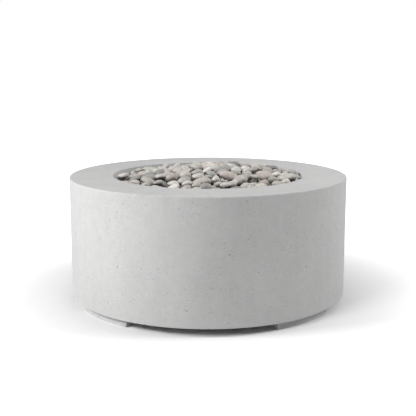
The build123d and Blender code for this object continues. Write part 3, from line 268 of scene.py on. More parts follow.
@dataclass(frozen=True)
class ConcreteFinish:
    """Cast concrete: cloudy and fine-grained, faint streaks, small open pinholes in painted shade, a painted
    rim-edge highlight.
    """

    name: str = "cast concrete"
    base: Colour = (0.43, 0.43, 0.427)
    cloud: Noise = Noise(4.2, 5.0, 0.55, 0.955, 1.035)
    mottle: Noise = Noise(34.0, 4.0, 0.62, 0.965, 1.03)
    grain: Noise = Noise(380.0, 2.0, 0.6, 0.955, 1.04)
    streaks: Noise = Noise(1.0, 3.0, 0.6, 0.985, 1.012, (0.35, 0.65))
    streak_run: Triple = (24.0, 24.0, 1.3)  # waves to the metre
    rough_skin: Noise = Noise(210.0, 3.0, 0.7, -0.065, 0.065, (0.35, 0.65))
    clusters: Noise = Noise(15.0, 2.0, 0.6, 0.3, 1.0, (0.40, 0.58))
    pinholes: tuple[Pinholes, ...] = (
        Pinholes(0.0095, 0.0022, 0.7), Pinholes(0.021, 0.0032, 0.75), Pinholes(0.05, 0.0046, 0.8)
    )
    # painted shade: the colour in the pinholes
    hole: Colour = (0.10, 0.10, 0.098)
    hole_shade_share: float = 0.66
    rim_node: str = "concrete_shell"
    # painted highlight along the rim's outer edge
    highlight_reach: Span = (0.001, 0.0075)  # metres from the edge
    highlight_gain: float = 1.05
    grain_height: float = 0.12
    mottle_height: float = 0.22
    relief_depth: float = 0.0014
    relief_strength: float = 0.55
    roughness: float = 0.81
    roughness_spread: Span = (-0.07, 0.07)
    specular: float = 0.16

    def rim_edge_highlight(self, surface: Surface) -> Socket:
        """Paint a highlight along the outer edge of the rim.

        Args:
            surface: The material.

        Returns:
            The factor on the colour, 1 away from the edge.
        """
        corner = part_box(self.rim_node)[1]
        across = surface.vector("LENGTH", surface.vector("MULTIPLY", surface.place, LEVEL))
        out = surface.math("ABSOLUTE", surface.math("SUBTRACT", across, corner.x))
        down = surface.math("ABSOLUTE", surface.math("SUBTRACT", surface.axis(surface.place, "Z"), corner.z))
        return surface.span(surface.math("ADD", out, down), self.highlight_reach, self.highlight_gain, 1.0)

    def material(self) -> bpy.types.Material:
        """Build the finish.

        Returns:
            The material.
        """
        surface = Surface(self.name)
        _, cloud = surface.noise(self.cloud)
        mottle_raw, mottle = surface.noise(self.mottle)
        grain_raw, grain = surface.noise(self.grain)
        _, streaks = surface.noise(self.streaks, surface.stretched(self.streak_run))
        _, rough_skin = surface.noise(self.rough_skin)
        _, clusters = surface.noise(self.clusters)
        tint = surface.math(
            "ADD", surface.times(cloud, mottle, grain, streaks), surface.times(rough_skin, clusters)
        )
        open_holes = surface.chain("MAXIMUM", *(size.scatter(surface) for size in self.pinholes))
        holes = surface.times(open_holes, clusters)
        # the colour, with the painted rim highlight
        highlighted_tone = surface.vector("SCALE", self.base, surface.times(tint, self.rim_edge_highlight(surface)))
        height = surface.math(
            "ADD", surface.times(grain_raw, self.grain_height), surface.times(mottle_raw, self.mottle_height)
        )
        surface.relief(surface.math("SUBTRACT", height, holes), self.relief_depth, self.relief_strength)
        # the pinholes are bumped in, and their colour is painted shade
        return surface.close({
            "Base Color": surface.mix(surface.times(holes, self.hole_shade_share), highlighted_tone, self.hole),
            "Roughness": surface.uneven(mottle_raw, self.roughness, self.roughness_spread),
            "Specular IOR Level": self.specular,
        })


@dataclass(frozen=True)
class StoneFinish:
    """A tumbled stone: one tone for each stone, mottled, flecked, here and there banded, with painted shade
    below and on buried stones.
    """

    name: str
    light: Colour
    dark: Colour
    fleck: Colour
    band: float = 0.25
    roughness: float = 0.62
    pits: float = 0.0
    relief_depth: float = 0.0007
    relief_strength: float = 0.7
    cloud: Noise = Noise(46.0, 4.0, 0.6, 0.86, 1.12)
    fine: Noise = Noise(520.0, 3.0, 0.65, 0.92, 1.07)
    flecks: Noise = Noise(240.0, 2.0, 0.7, 0.0, 0.45, (0.62, 0.70))
    cloud_height: float = 0.6
    fine_height: float = 0.35
    band_scale: float = 26.0
    band_distortion: float = 2.2
    band_detail: float = 2.0
    band_lot: float = 7.3  # spreads the tones, so that bands don't follow them
    bend: float = 0.05
    bend_scale: float = 30.0
    bend_detail: float = 3.0
    # painted shade in the lava's pits
    pit_shade: Colour = (0.012, 0.011, 0.011)
    pit_shade_share: float = 0.6
    pit_scale: float = 190.0
    pit_reach: Span = (0.15, 0.5)
    roughness_spread: Span = (-0.06, 0.1)
    specular: float = 0.25

    def bands(self, surface: Surface, tone: Socket) -> Socket:
        """Lay bands through the stones, stronger in some than in others.

        Args:
            surface: The material.
            tone: Each stone's tone, which also settles how strong its bands are.

        Returns:
            The factor on the colour, 1 between bands.
        """
        bend = surface.vector("SCALE", surface.swirl(self.bend_scale, self.bend_detail), self.bend)
        feeds = {
            "Vector": surface.vector("ADD", surface.place, bend),
            "Scale": self.band_scale,
            "Distortion": self.band_distortion,
            "Detail": self.band_detail,
        }
        waves = surface.node("ShaderNodeTexWave", feeds, bands_direction="DIAGONAL").outputs["Fac"]
        strength = surface.times(surface.math("FRACT", surface.times(tone, self.band_lot)), self.band)
        return surface.math("SUBTRACT", 1.0, surface.times(waves, strength))

    def material(self) -> bpy.types.Material:
        """Build the finish.

        Returns:
            The material.
        """
        surface = Surface(self.name)
        tone = surface.attribute(StoneTree.TONE)
        # painted shade from the tree darkens undersides and buried stones
        unshaded = surface.math("SUBTRACT", 1.0, surface.attribute(StoneTree.PAINTED_SHADE))
        cloud_raw, cloud = surface.noise(self.cloud)
        fine_raw, fine = surface.noise(self.fine)
        _, flecks = surface.noise(self.flecks)
        tint = surface.times(cloud, fine, self.bands(surface, tone), unshaded)
        base = surface.mix(tone, self.dark, self.light)
        colour = surface.mix(
            flecks, surface.vector("SCALE", base, tint), surface.vector("SCALE", self.fleck, tint)
        )
        height = surface.math(
            "ADD", surface.times(fine_raw, self.fine_height), surface.times(cloud_raw, self.cloud_height)
        )
        if self.pits:
            cells = surface.node("ShaderNodeTexVoronoi", {"Vector": surface.place, "Scale": self.pit_scale})
            pit = surface.span(cells.outputs["Distance"], self.pit_reach, 1.0, 0.0)
            height = surface.math("SUBTRACT", height, surface.times(pit, self.pits))
            # painted shade darkens the pits
            colour = surface.mix(surface.times(pit, self.pit_shade_share), colour, self.pit_shade)
        surface.relief(height, self.relief_depth, self.relief_strength)
        return surface.close({
            "Base Color": colour,
            "Roughness": surface.uneven(cloud_raw, self.roughness, self.roughness_spread),
            "Specular IOR Level": self.specular,
        })


@dataclass(frozen=True)
class MetalFinish:
    """A bare metal: drawn or brushed one way, a little uneven, with some tarnish."""

    name: str
    base: Colour
    tarnish: Colour
    roughness: float = 0.3
    brush: Triple = (40.0, 700.0, 700.0)  # waves to the metre
    tarnish_share: float = 0.35
    lines: Noise = Noise(1.0, 3.0, 0.6, 0.9, 1.08)
    patches: Noise = Noise(22.0, 4.0, 0.6, reach=(0.45, 0.72))
    roughness_spread: Span = (-0.06, 0.07)
    tarnish_roughness: float = 0.4
    relief_depth: float = 0.0001
    relief_strength: float = 0.35

    def material(self) -> bpy.types.Material:
        """Build the finish.

        Returns:
            The material.
        """
        surface = Surface(self.name)
        lines_raw, lines = surface.noise(self.lines, surface.stretched(self.brush))
        _, patches = surface.noise(self.patches)
        stain = surface.times(patches, self.tarnish_share)
        polish = surface.uneven(lines_raw, self.roughness, self.roughness_spread)
        surface.relief(lines_raw, self.relief_depth, self.relief_strength)
        return surface.close({
            "Base Color": surface.mix(stain, surface.vector("SCALE", self.base, lines), self.tarnish),
            "Metallic": 1.0,
            "Roughness": surface.math("ADD", polish, surface.times(stain, self.tarnish_roughness)),
        })


@dataclass(frozen=True)
class MouldedFinish:
    """A moulded, fired or woven surface that isn't bare metal, with its own fine texture."""

    name: str
    base: Colour
    roughness: float
    grain: float = 900.0  # waves to the metre
    grain_depth: float = 0.00006
    scuff: float = 0.12
    coat: float = 0.0
    grain_detail: float = 3.0
    grain_roughness: float = 0.6
    grain_tint: Span = (0.94, 1.06)
    wear: Noise = Noise(55.0, 5.0, 0.65, reach=(0.4, 0.7))
    roughness_spread: Span = (-0.05, 0.12)
    relief_strength: float = 0.6

    def texture(self, surface: Surface) -> tuple[Socket, Socket]:
        """Make the base colour and give the surface its relief.

        Args:
            surface: The material.

        Returns:
            The colour and the roughness.
        """
        layer = Noise(self.grain, self.grain_detail, self.grain_roughness, *self.grain_tint)
        grain_raw, grain = surface.noise(layer)
        wear_raw, wear = surface.noise(self.wear)
        rub = surface.math("ADD", 1.0, surface.times(wear, self.scuff))
        surface.relief(grain_raw, self.grain_depth, self.relief_strength)
        colour = surface.vector("SCALE", self.base, surface.times(rub, grain))
        return colour, surface.uneven(wear_raw, self.roughness, self.roughness_spread)

    def material(self) -> bpy.types.Material:
        """Build the finish.

        Returns:
            The material.
        """
        surface = Surface(self.name)
        colour, rough = self.texture(surface)
        return surface.close({"Base Color": colour, "Roughness": rough, "Coat Weight": self.coat})


@dataclass(frozen=True)
class KnobFinish(MouldedFinish):
    """Black powder coat with a white line laid in the knob's groove."""

    node: str = "control_knob"
    line: Colour = (0.80, 0.80, 0.78)
    line_half_width: float = 0.0013
    line_start: float = -0.0002  # above the knob's middle
    groove_depth: float = 0.0012
    groove_slack: float = 0.0003

    def texture(self, surface: Surface) -> tuple[Socket, Socket]:
        """Make the coat's colour and relief, with the line on the floor of the groove.

        Args:
            surface: The material.

        Returns:
            The colour and the roughness.
        """
        colour, rough = super().texture(surface)
        low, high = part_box(self.node)
        middle = (low + high) / 2
        floor = (middle.x, high.y - self.groove_depth, middle.z)
        place = surface.vector("SUBTRACT", surface.place, floor)
        across = surface.math("ABSOLUTE", surface.axis(place, "X"))
        sunk = surface.math("ABSOLUTE", surface.axis(place, "Y"))
        mark = surface.times(
            surface.math("LESS_THAN", across, self.line_half_width),
            surface.math("LESS_THAN", sunk, self.groove_slack),
            surface.math("GREATER_THAN", surface.axis(place, "Z"), self.line_start),
        )
        return surface.mix(mark, colour, self.line), rough


class Finish(Enum):
    """Every finish on the fire pit, apart from the stones."""

    CONCRETE = ConcreteFinish()
    STAINLESS = MetalFinish("brushed stainless", (0.56, 0.56, 0.55), (0.38, 0.36, 0.33))
    SPUN_STEEL = MetalFinish(
        "spun pan steel", (0.45, 0.44, 0.43), (0.22, 0.20, 0.18), 0.38, (220.0, 220.0, 220.0)
    )
    HEATED_STEEL = MetalFinish(
        "heat-tinted burner steel", (0.47, 0.43, 0.38), (0.30, 0.20, 0.13), 0.34, (160.0, 160.0, 500.0), 0.7
    )
    ZINC = MetalFinish("zinc plate", (0.55, 0.55, 0.53), (0.40, 0.40, 0.38), 0.42, (90.0, 90.0, 90.0), 0.5)
    BRASS = MetalFinish(
        "machined brass", (0.71, 0.52, 0.25), (0.36, 0.25, 0.13), 0.27, (260.0, 260.0, 900.0)
    )
    COPPER = MetalFinish(
        "drawn copper", (0.70, 0.38, 0.26), (0.33, 0.19, 0.13), 0.3, (300.0, 300.0, 300.0), 0.5
    )
    POWDER_COAT = KnobFinish("black powder coat", (0.022, 0.022, 0.023), 0.48, 1400.0, 0.00008)
    BLACK_PLASTIC = MouldedFinish("black moulded plastic", (0.018, 0.018, 0.019), 0.32, 1100.0, 0.00003)
    CELL_WRAP = MouldedFinish("cell wrap", (0.10, 0.10, 0.11), 0.28, 500.0, 0.00001, 0.1, 0.3)
    PORCELAIN = MouldedFinish("glazed white ceramic", (0.74, 0.73, 0.69), 0.16, 300.0, 0.00002, 0.06, 0.5)
    SHEATH = MouldedFinish("braided lead sheath", (0.03, 0.03, 0.03), 0.72, 1300.0, 0.0002, 0.3)
    FIBRE = MouldedFinish("ceramic-fibre gasket", (0.66, 0.64, 0.58), 0.92, 420.0, 0.0004, 0.15)


class StoneTone(Enum):
    """The finishes of the stones: light, dark and fleck, and for the lava its open pits."""

    WHITE = StoneFinish(
        "white river stone", (0.59, 0.565, 0.535), (0.38, 0.365, 0.345), (0.30, 0.285, 0.27)
    )
    GREY = StoneFinish("grey river stone", (0.43, 0.42, 0.41), (0.22, 0.215, 0.205), (0.17, 0.165, 0.16))
    SAND = StoneFinish("sand river stone", (0.54, 0.50, 0.46), (0.34, 0.315, 0.285), (0.25, 0.23, 0.205))
    ROSE = StoneFinish("rose river stone", (0.54, 0.485, 0.45), (0.36, 0.32, 0.295), (0.26, 0.23, 0.21))
    GREEN = StoneFinish(
        "green-grey river stone", (0.49, 0.485, 0.44), (0.30, 0.295, 0.265), (0.22, 0.215, 0.19)
    )
    LAVA = StoneFinish(
        "lava rock", (0.075, 0.068, 0.065), (0.035, 0.033, 0.032), (0.10, 0.085, 0.08),
        band=0.0, roughness=0.9, pits=0.9, relief_depth=0.0016,
    )


class Wardrobe:
    """Makes each finish once and hands it out."""

    def __init__(self) -> None:
        """Start with no finish made."""
        self.made: dict[Finish, bpy.types.Material] = {}

    def get(self, finish: Finish) -> bpy.types.Material:
        """Give a finish's material.

        Args:
            finish: Which finish.

        Returns:
            Its material, made the first time.
        """
        if finish not in self.made:
            self.made[finish] = finish.value.material()
        return self.made[finish]

    def dress(self, node: str, finish: Finish) -> None:
        """Put a finish on a whole CAD node.

        Args:
            node: The node's name.
            finish: The finish.
        """
        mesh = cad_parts[node].data
        mesh.materials.clear()
        mesh.materials.append(self.get(finish))
        log.info("%s: %s", node, finish.value.name)


@dataclass
class Assembly:
    """A sub-assembly whose pieces come from the CAD model."""

    wear: dict[Finish, tuple[str, ...]] = field(default_factory=dict)

    def dress(self, wardrobe: Wardrobe) -> None:
        """Put each piece's finish on.

        Args:
            wardrobe: Where the materials come from.
        """
        for finish, nodes in self.wear.items():
            for node in nodes:
                wardrobe.dress(node, finish)


@dataclass
class Casting(Assembly):
    """The concrete shell, its feet, and what bolts them together."""

    wear: dict[Finish, tuple[str, ...]] = field(
        default_factory=lambda: {
            Finish.CONCRETE: (
                "concrete_shell", "foot_front_left", "foot_front_right", "foot_rear_left", "foot_rear_right"
            ),
            Finish.ZINC: ("foot_inserts", "foot_bolts"),
        }
    )


@dataclass
class Burner(Assembly):
    """The pan on its gasket, the burner in it, and the pilot beside the burner."""

    wear: dict[Finish, tuple[str, ...]] = field(
        default_factory=lambda: {
            Finish.FIBRE: ("pan_gasket",),
            Finish.SPUN_STEEL: ("burner_pan", "stone_guard", "pilot_bracket"),
            Finish.HEATED_STEEL: (
                "burner_outer_ring", "burner_inner_ring", "burner_inner_arms", "burner_outer_arms",
                "burner_hub", "burner_stands", "spark_rod",
            ),
            Finish.PORCELAIN: ("spark_insulator",),
            Finish.COPPER: ("flame_sensor",),
        }
    )


@dataclass
class GasTrain(Assembly):
    """The lines and fittings between the inlet, the valve and the burner."""

    wear: dict[Finish, tuple[str, ...]] = field(
        default_factory=lambda: {
            Finish.STAINLESS: ("burner_feed_line", "inlet_pipe"),
            Finish.BRASS: (
                "gas_elbow", "feed_nut_burner", "feed_nut_valve", "sensor_nut", "inlet_nut",
                "inlet_fitting", "inlet_lock_nut",
            ),
            Finish.ZINC: ("feed_nipple", "pan_nut_upper", "pan_nut_lower", "inlet_bracket", "inlet_screws"),
            Finish.COPPER: ("sensor_lead",),
            Finish.SHEATH: ("spark_lead",),
        }
    )


@dataclass
class Controls(Assembly):
    """The tray at the back, with the valve, the knob and the igniter."""

    wear: dict[Finish, tuple[str, ...]] = field(
        default_factory=lambda: {
            Finish.STAINLESS: ("control_tray", "tray_screws", "knob_bezel", "valve_stem"),
            Finish.BRASS: ("tray_inserts", "valve_body", "valve_plug", "valve_nut"),
            Finish.ZINC: ("magnet_unit",),
            Finish.POWDER_COAT: ("control_knob",),
            Finish.BLACK_PLASTIC: ("igniter_barrel", "igniter_nut", "igniter_button"),
            Finish.CELL_WRAP: ("igniter_cell",),
        }
    )


@dataclass
class StonePlace:
    """One stone of the CAD model: its centre, half lengths and turn."""

    MERGE_REACH = 1e-6

    centre: np.ndarray
    halves: np.ndarray
    axes: np.ndarray

    @classmethod
    def from_points(cls, points: np.ndarray) -> "StonePlace":
        """Find the ellipsoid that a stone's points lie on.

        Args:
            points: The points, one row each.

        Returns:
            The stone.
        """
        middle = points.mean(axis=0)
        size = np.abs(points - middle).max()
        x, y, z = ((points - middle) / size).T
        rows = np.column_stack([x * x, y * y, z * z, 2 * x * y, 2 * x * z, 2 * y * z, 2 * x, 2 * y, 2 * z])
        xx, yy, zz, xy, xz, yz, *line = np.linalg.lstsq(rows, np.ones(len(rows)), rcond=None)[0]
        form = np.array([[xx, xy, xz], [xy, yy, yz], [xz, yz, zz]])
        centre = -np.linalg.solve(form, line)
        values, axes = np.linalg.eigh(form / (1 + centre @ form @ centre))
        if np.linalg.det(axes) < 0:
            axes[:, 0] *= -1
        return cls(middle + centre * size, size / np.sqrt(values), axes)

    @classmethod
    def from_node(cls, node: str) -> list["StonePlace"]:
        """Find every stone in a CAD node.

        Args:
            node: The node's name.

        Returns:
            Its stones.
        """
        shape = bmesh.new()
        shape.from_mesh(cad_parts[node].data)
        bmesh.ops.remove_doubles(shape, verts=shape.verts, dist=cls.MERGE_REACH)
        seen: set[bmesh.types.BMVert] = set()
        places = []
        for start in shape.verts:
            if start in seen:
                continue
            seen.add(start)
            group, queue = [], [start]
            while queue:
                vert = queue.pop()
                group.append(tuple(vert.co))
                for edge in vert.link_edges:
                    other = edge.other_vert(vert)
                    if other not in seen:
                        seen.add(other)
                        queue.append(other)
            places.append(cls.from_points(np.array(group)))
        shape.free()
        return places

    def turn(self) -> Triple:
        """Give the stone's turn as Euler angles."""
        return tuple(Matrix(self.axes.tolist()).to_euler())


class StoneTree(Graph):
    """Geometry Nodes that turn one point for each stone into worn, uneven pebbles."""

    TONE = "stone_tone"
    # painted shade on each stone's points: darker below and on buried stones
    PAINTED_SHADE = "stone_painted_shade"
    CENTRE = "stone_centre"
    HALVES = "stone_halves"
    TURN = "stone_turn"
    SEED = "stone_seed"
    SHOWN = "stone_shown"
    UNIT_PLACE = "unit_place"
    WORKING = (UNIT_PLACE, CENTRE, HALVES, TURN, SEED, SHOWN)
    INPUTS = {
        "Shown Smoothness": "NodeSocketInt",
        "Buried Smoothness": "NodeSocketInt",
        "Egg": "NodeSocketFloat",
        "Lopsidedness": "NodeSocketFloat",
        "Lopsided Scale": "NodeSocketFloat",
        "Dents": "NodeSocketFloat",
        "Dent Scale": "NodeSocketFloat",
        # painted shade: how dark the undersides and the buried stones are made
        "Underside Soot": "NodeSocketFloat",
        "Deep Soot": "NodeSocketFloat",
        "Finish": "NodeSocketMaterial",
    }
    WAVE_DETAIL = 1.5
    WAVE_MIDDLE = 0.53
    WAVE_GAIN = 2.0
    # normal heights across which the painted underside shade fades out
    PAINTED_SHADE_RISE = (-0.7, 0.35)

    def __init__(self) -> None:
        """Build the tree."""
        super().__init__(bpy.data.node_groups.new("worn stones", "GeometryNodeTree"))
        face = self.tree.interface
        face.new_socket(name="Places", in_out="INPUT", socket_type="NodeSocketGeometry")
        for name, kind in self.INPUTS.items():
            face.new_socket(name=name, in_out="INPUT", socket_type=kind)
        face.new_socket(name="Stones", in_out="OUTPUT", socket_type="NodeSocketGeometry")
        self.fill()

    def read(self, name: str, kind: str) -> Socket:
        """Read a named attribute of a data type."""
        new = self.node("GeometryNodeInputNamedAttribute", {"Name": name}, data_type=kind)
        return new.outputs["Attribute"]

    def store(self, shape: Socket, name: str, value: Socket, kind: str) -> Socket:
        """Keep a value on a shape's points as a named attribute of a data type."""
        feeds = {"Geometry": shape, "Name": name, "Value": value}
        return self.node("GeometryNodeStoreNamedAttribute", feeds, data_type=kind, domain="POINT").outputs[0]

    def here(self) -> Socket:
        """Give each point's own place."""
        return self.node("GeometryNodeInputPosition").outputs["Position"]

    def moved(self, shape: Socket, place: Socket) -> Socket:
        """Give the shape with its points moved to a place each."""
        feeds = {"Geometry": shape, "Position": place}
        return self.node("GeometryNodeSetPosition", feeds).outputs["Geometry"]

    def pebbles(self, given: bpy.types.Node, smoothness: str, chosen: Socket) -> Socket:
        """Put an egg on some of the points, scaled and turned as each point says.

        Args:
            given: The tree's input node.
            smoothness: The input that holds the egg's subdivisions.
            chosen: Which points get one.

        Returns:
            The instances.
        """
        ball_feeds = {"Radius": 1.0, "Subdivisions": given.outputs[smoothness]}
        ball = self.node("GeometryNodeMeshIcoSphere", ball_feeds).outputs["Mesh"]
        here = self.here()
        widened = self.math("ADD", 1.0, self.times(self.axis(here, "X"), given.outputs["Egg"]))
        girth = self.node("ShaderNodeCombineXYZ", {"X": 1.0, "Y": widened, "Z": widened}).outputs["Vector"]
        egg = self.moved(ball, self.vector("MULTIPLY", here, girth))
        turn = self.node("FunctionNodeEulerToRotation", {"Euler": self.read(self.TURN, "FLOAT_VECTOR")})
        feeds = {
            "Points": given.outputs["Places"],
            "Selection": chosen,
            "Instance": self.store(egg, self.UNIT_PLACE, here, "FLOAT_VECTOR"),
            "Rotation": turn.outputs["Rotation"],
            "Scale": self.read(self.HALVES, "FLOAT_VECTOR"),
        }
        return self.node("GeometryNodeInstanceOnPoints", feeds).outputs["Instances"]

    def swell(self, given: bpy.types.Node) -> Socket:
        """Work out how far each point of a stone lies from its middle, as a share.

        Args:
            given: The tree's input node.

        Returns:
            The share, about 1.
        """
        where, seed = self.read(self.UNIT_PLACE, "FLOAT_VECTOR"), self.read(self.SEED, "FLOAT")
        total: Socket | float = 1.0
        for scale, amount in (("Lopsided Scale", "Lopsidedness"), ("Dent Scale", "Dents")):
            feeds = {"Vector": where, "W": seed, "Scale": given.outputs[scale], "Detail": self.WAVE_DETAIL}
            wave = self.node("ShaderNodeTexNoise", feeds, noise_dimensions="4D").outputs["Fac"]
            swing = self.times(self.math("SUBTRACT", wave, self.WAVE_MIDDLE), self.WAVE_GAIN)
            total = self.math("ADD", total, self.times(swing, given.outputs[amount]))
        return total

    def painted_shade(self, given: bpy.types.Node, shown: Socket) -> Socket:
        """Work out each point's painted shade: below, and all over where the stone is buried.

        Args:
            given: The tree's input node.
            shown: Which stones show.

        Returns:
            The painted shade, from 0 to 1.
        """
        rise = self.axis(self.node("GeometryNodeInputNormal").outputs["Normal"], "Z")
        # painted shade, darker the more the surface faces down
        under = self.span(rise, self.PAINTED_SHADE_RISE, given.outputs["Underside Soot"], 0.0)
        # painted shade over the whole of a buried stone
        feeds = {"Switch": shown, "False": given.outputs["Deep Soot"], "True": 0.0}
        deep = self.node("GeometryNodeSwitch", feeds, input_type="FLOAT").outputs["Output"]
        return self.math("MAXIMUM", under, deep)

    def fill(self) -> None:
        """Lay out the whole tree."""
        given, result = self.node("NodeGroupInput"), self.node("NodeGroupOutput")
        shown = self.read(self.SHOWN, "BOOLEAN")
        hidden = self.node("FunctionNodeBooleanMath", {0: shown}, operation="NOT").outputs[0]
        joined = self.node("GeometryNodeJoinGeometry")
        for smoothness, chosen in (("Shown Smoothness", shown), ("Buried Smoothness", hidden)):
            self.feed(joined.inputs[0], self.pebbles(given, smoothness, chosen))
        real = self.node("GeometryNodeRealizeInstances", {"Geometry": joined.outputs[0]}).outputs["Geometry"]
        middle = self.read(self.CENTRE, "FLOAT_VECTOR")
        arm = self.vector("SCALE", self.vector("SUBTRACT", self.here(), middle), self.swell(given))
        moved = self.moved(real, self.vector("ADD", middle, arm))
        # keep the painted shade, which the stone materials darken by
        with_painted_shade = self.store(moved, self.PAINTED_SHADE, self.painted_shade(given, shown), "FLOAT")
        smooth = self.node("GeometryNodeSetShadeSmooth", {"Geometry": with_painted_shade}).outputs["Geometry"]
        feeds = {"Geometry": smooth, "Material": given.outputs["Finish"]}
        dressed = self.node("GeometryNodeSetMaterial", feeds).outputs["Geometry"]
        self.feed(result.inputs["Stones"], dressed)

    def apply(self, piece: bpy.types.Object, values: dict[str, object]) -> None:
        """Run the tree on an object and keep the result as its plain mesh.

        Args:
            piece: The object, whose mesh holds the points.
            values: Values for the tree's inputs, by name.
        """
        modifier = piece.modifiers.new("stones", "NODES")
        modifier.node_group = self.tree
        for item in self.tree.interface.items_tree:
            if item.in_out == "INPUT" and item.name in values:
                modifier[item.identifier] = values[item.name]
        graph = bpy.context.evaluated_depsgraph_get()
        mesh = bpy.data.meshes.new_from_object(piece.evaluated_get(graph), depsgraph=graph)
        piece.modifiers.clear()
        piece.data = mesh
        for name in self.WORKING:
            if name in mesh.attributes:
                mesh.attributes.remove(mesh.attributes[name])


@dataclass
class StoneGroup:
    """The stones of one tone: the CAD node that they stand for, its slot, their finish, their wear and their
    painted shade.
    """

    node: str
    slot: str
    tone: StoneTone
    lopsided: float = 0.26
    dents: float = 0.07
    dent_scale: float = 1.7
    lopsided_scale: float = 0.75
    egg: float = 0.25
    # painted shade: undersides, and buried stones all over
    painted_underside_shade: float = 0.7
    painted_buried_shade: float = 0.7
    shown_smoothness: int = 3
    buried_smoothness: int = 2
    seed_reach: float = 90.0
    places: list[StonePlace] = field(default_factory=list)

    def inputs(self) -> dict[str, object]:
        """Gather the values for the tree's inputs.

        Returns:
            The values by the input's name, with the finish made.
        """
        return {
            "Shown Smoothness": self.shown_smoothness,
            "Buried Smoothness": self.buried_smoothness,
            "Egg": self.egg,
            "Lopsidedness": self.lopsided,
            "Lopsided Scale": self.lopsided_scale,
            "Dents": self.dents,
            "Dent Scale": self.dent_scale,
            "Underside Soot": self.painted_underside_shade,
            "Deep Soot": self.painted_buried_shade,
            "Finish": self.tone.value.material(),
        }

    def points(self, shown: np.ndarray, draw: np.random.Generator) -> bpy.types.Object:
        """Make an object with one point for each stone.

        Args:
            shown: Which of the stones show.
            draw: Where the random numbers come from.

        Returns:
            The object, linked to the scene.
        """
        mesh = bpy.data.meshes.new(self.node + "_worn")
        mesh.from_pydata([tuple(place.centre) for place in self.places], [], [])
        vectors = {
            StoneTree.CENTRE: [place.centre for place in self.places],
            StoneTree.HALVES: [place.halves for place in self.places],
            StoneTree.TURN: [place.turn() for place in self.places],
        }
        for name, rows in vectors.items():
            layer = mesh.attributes.new(name, "FLOAT_VECTOR", "POINT")
            layer.data.foreach_set("vector", np.array(rows, np.float32).ravel())
        for name, limit in ((StoneTree.SEED, self.seed_reach), (StoneTree.TONE, 1.0)):
            layer = mesh.attributes.new(name, "FLOAT", "POINT")
            layer.data.foreach_set("value", draw.uniform(0, limit, len(self.places)).astype(np.float32))
        mesh.attributes.new(StoneTree.SHOWN, "BOOLEAN", "POINT").data.foreach_set("value", shown)
        piece = bpy.data.objects.new(self.node + "_worn", mesh)
        bpy.context.scene.collection.objects.link(piece)
        return piece


@dataclass
class StoneHeap:
    """All the stones in the opening."""

    seed: int = 5
    free_share: float = 0.12  # of the dome over a stone that shows
    sky_turns: int = 12
    sky_tilts: tuple[float, ...] = (0.0, 0.5, 1.0)  # radians from straight up
    sky_dome: Triple = (0.9, 0.9, 0.6)  # of the longest half
    cover_rise: float = 0.3  # of the shortest half
    groups: list[StoneGroup] = field(
        default_factory=lambda: [
            StoneGroup("river_stones_white", "white_stone", StoneTone.WHITE),
            StoneGroup("river_stones_grey", "grey_stone", StoneTone.GREY),
            StoneGroup("river_stones_sand", "sand_stone", StoneTone.SAND),
            StoneGroup("river_stones_rose", "rose_stone", StoneTone.ROSE),
            StoneGroup("river_stones_green", "green_stone", StoneTone.GREEN),
            StoneGroup("lava_rocks", "lava_rock", StoneTone.LAVA, lopsided=0.34, dents=0.22, dent_scale=3.2),
        ]
    )

    def mark_shown(self, everything: list[StonePlace]) -> np.ndarray:
        """Find the stones that are at least partly free to the sky.

        Args:
            everything: All the stones.

        Returns:
            One truth value for each.
        """
        ring = np.linspace(0, 2 * math.pi, self.sky_turns, endpoint=False)
        caps = [(math.sin(tilt), math.cos(tilt)) for tilt in self.sky_tilts]
        dome = np.array([
            (out * math.cos(angle), out * math.sin(angle), up) for out, up in caps for angle in ring
        ])
        forms = np.array([place.axes @ np.diag(place.halves**2) @ place.axes.T for place in everything])
        prints = np.linalg.inv(forms[:, :2, :2])
        centres = np.array([place.centre for place in everything])
        shown = np.zeros(len(everything), bool)
        for index, place in enumerate(everything):
            points = place.centre + dome * place.halves.max() * self.sky_dome
            off = points[:, None, :2] - centres[None, :, :2]
            under = np.einsum("pnk,nkl,pnl->pn", off, prints, off) < 1
            under &= centres[None, :, 2] > place.centre[2] + self.cover_rise * place.halves.min()
            under[:, index] = False
            shown[index] = (~under.any(axis=1)).mean() > self.free_share
        return shown

    def build(self) -> None:
        """Make every group's stones and put them in place of their CAD node."""
        tree = StoneTree()
        draw = np.random.default_rng(self.seed)
        for group in self.groups:
            group.places = StonePlace.from_node(group.node)
        shown = self.mark_shown([place for group in self.groups for place in group.places])
        start = 0
        for group in self.groups:
            end = start + len(group.places)
            piece = group.points(shown[start:end], draw)
            tree.apply(piece, group.inputs())
            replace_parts(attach(piece, ROOT_BODY), group.node)
            log.info("%s: %d stones, %d faces", piece.name, end - start, len(piece.data.polygons))
            start = end


@dataclass(frozen=True)
class SoftBox:
    """One soft light of the studio: where it stands, what it aims at, its size in metres and its watts."""

    name: str
    place: Triple
    aim: Triple
    width: float
    height: float
    power: float

    def build(self) -> None:
        """Make the light."""
        data = bpy.data.lights.new(self.name, "AREA")
        data.shape = "ELLIPSE"
        data.size = self.width
        data.size_y = self.height
        data.energy = self.power
        lamp = bpy.data.objects.new(self.name, data)
        lamp.location = self.place
        lamp.visible_camera = False
        lamp.rotation_euler = (Vector(self.aim) - Vector(self.place)).to_track_quat("-Z", "Y").to_euler()
        bpy.context.scene.collection.objects.link(lamp)


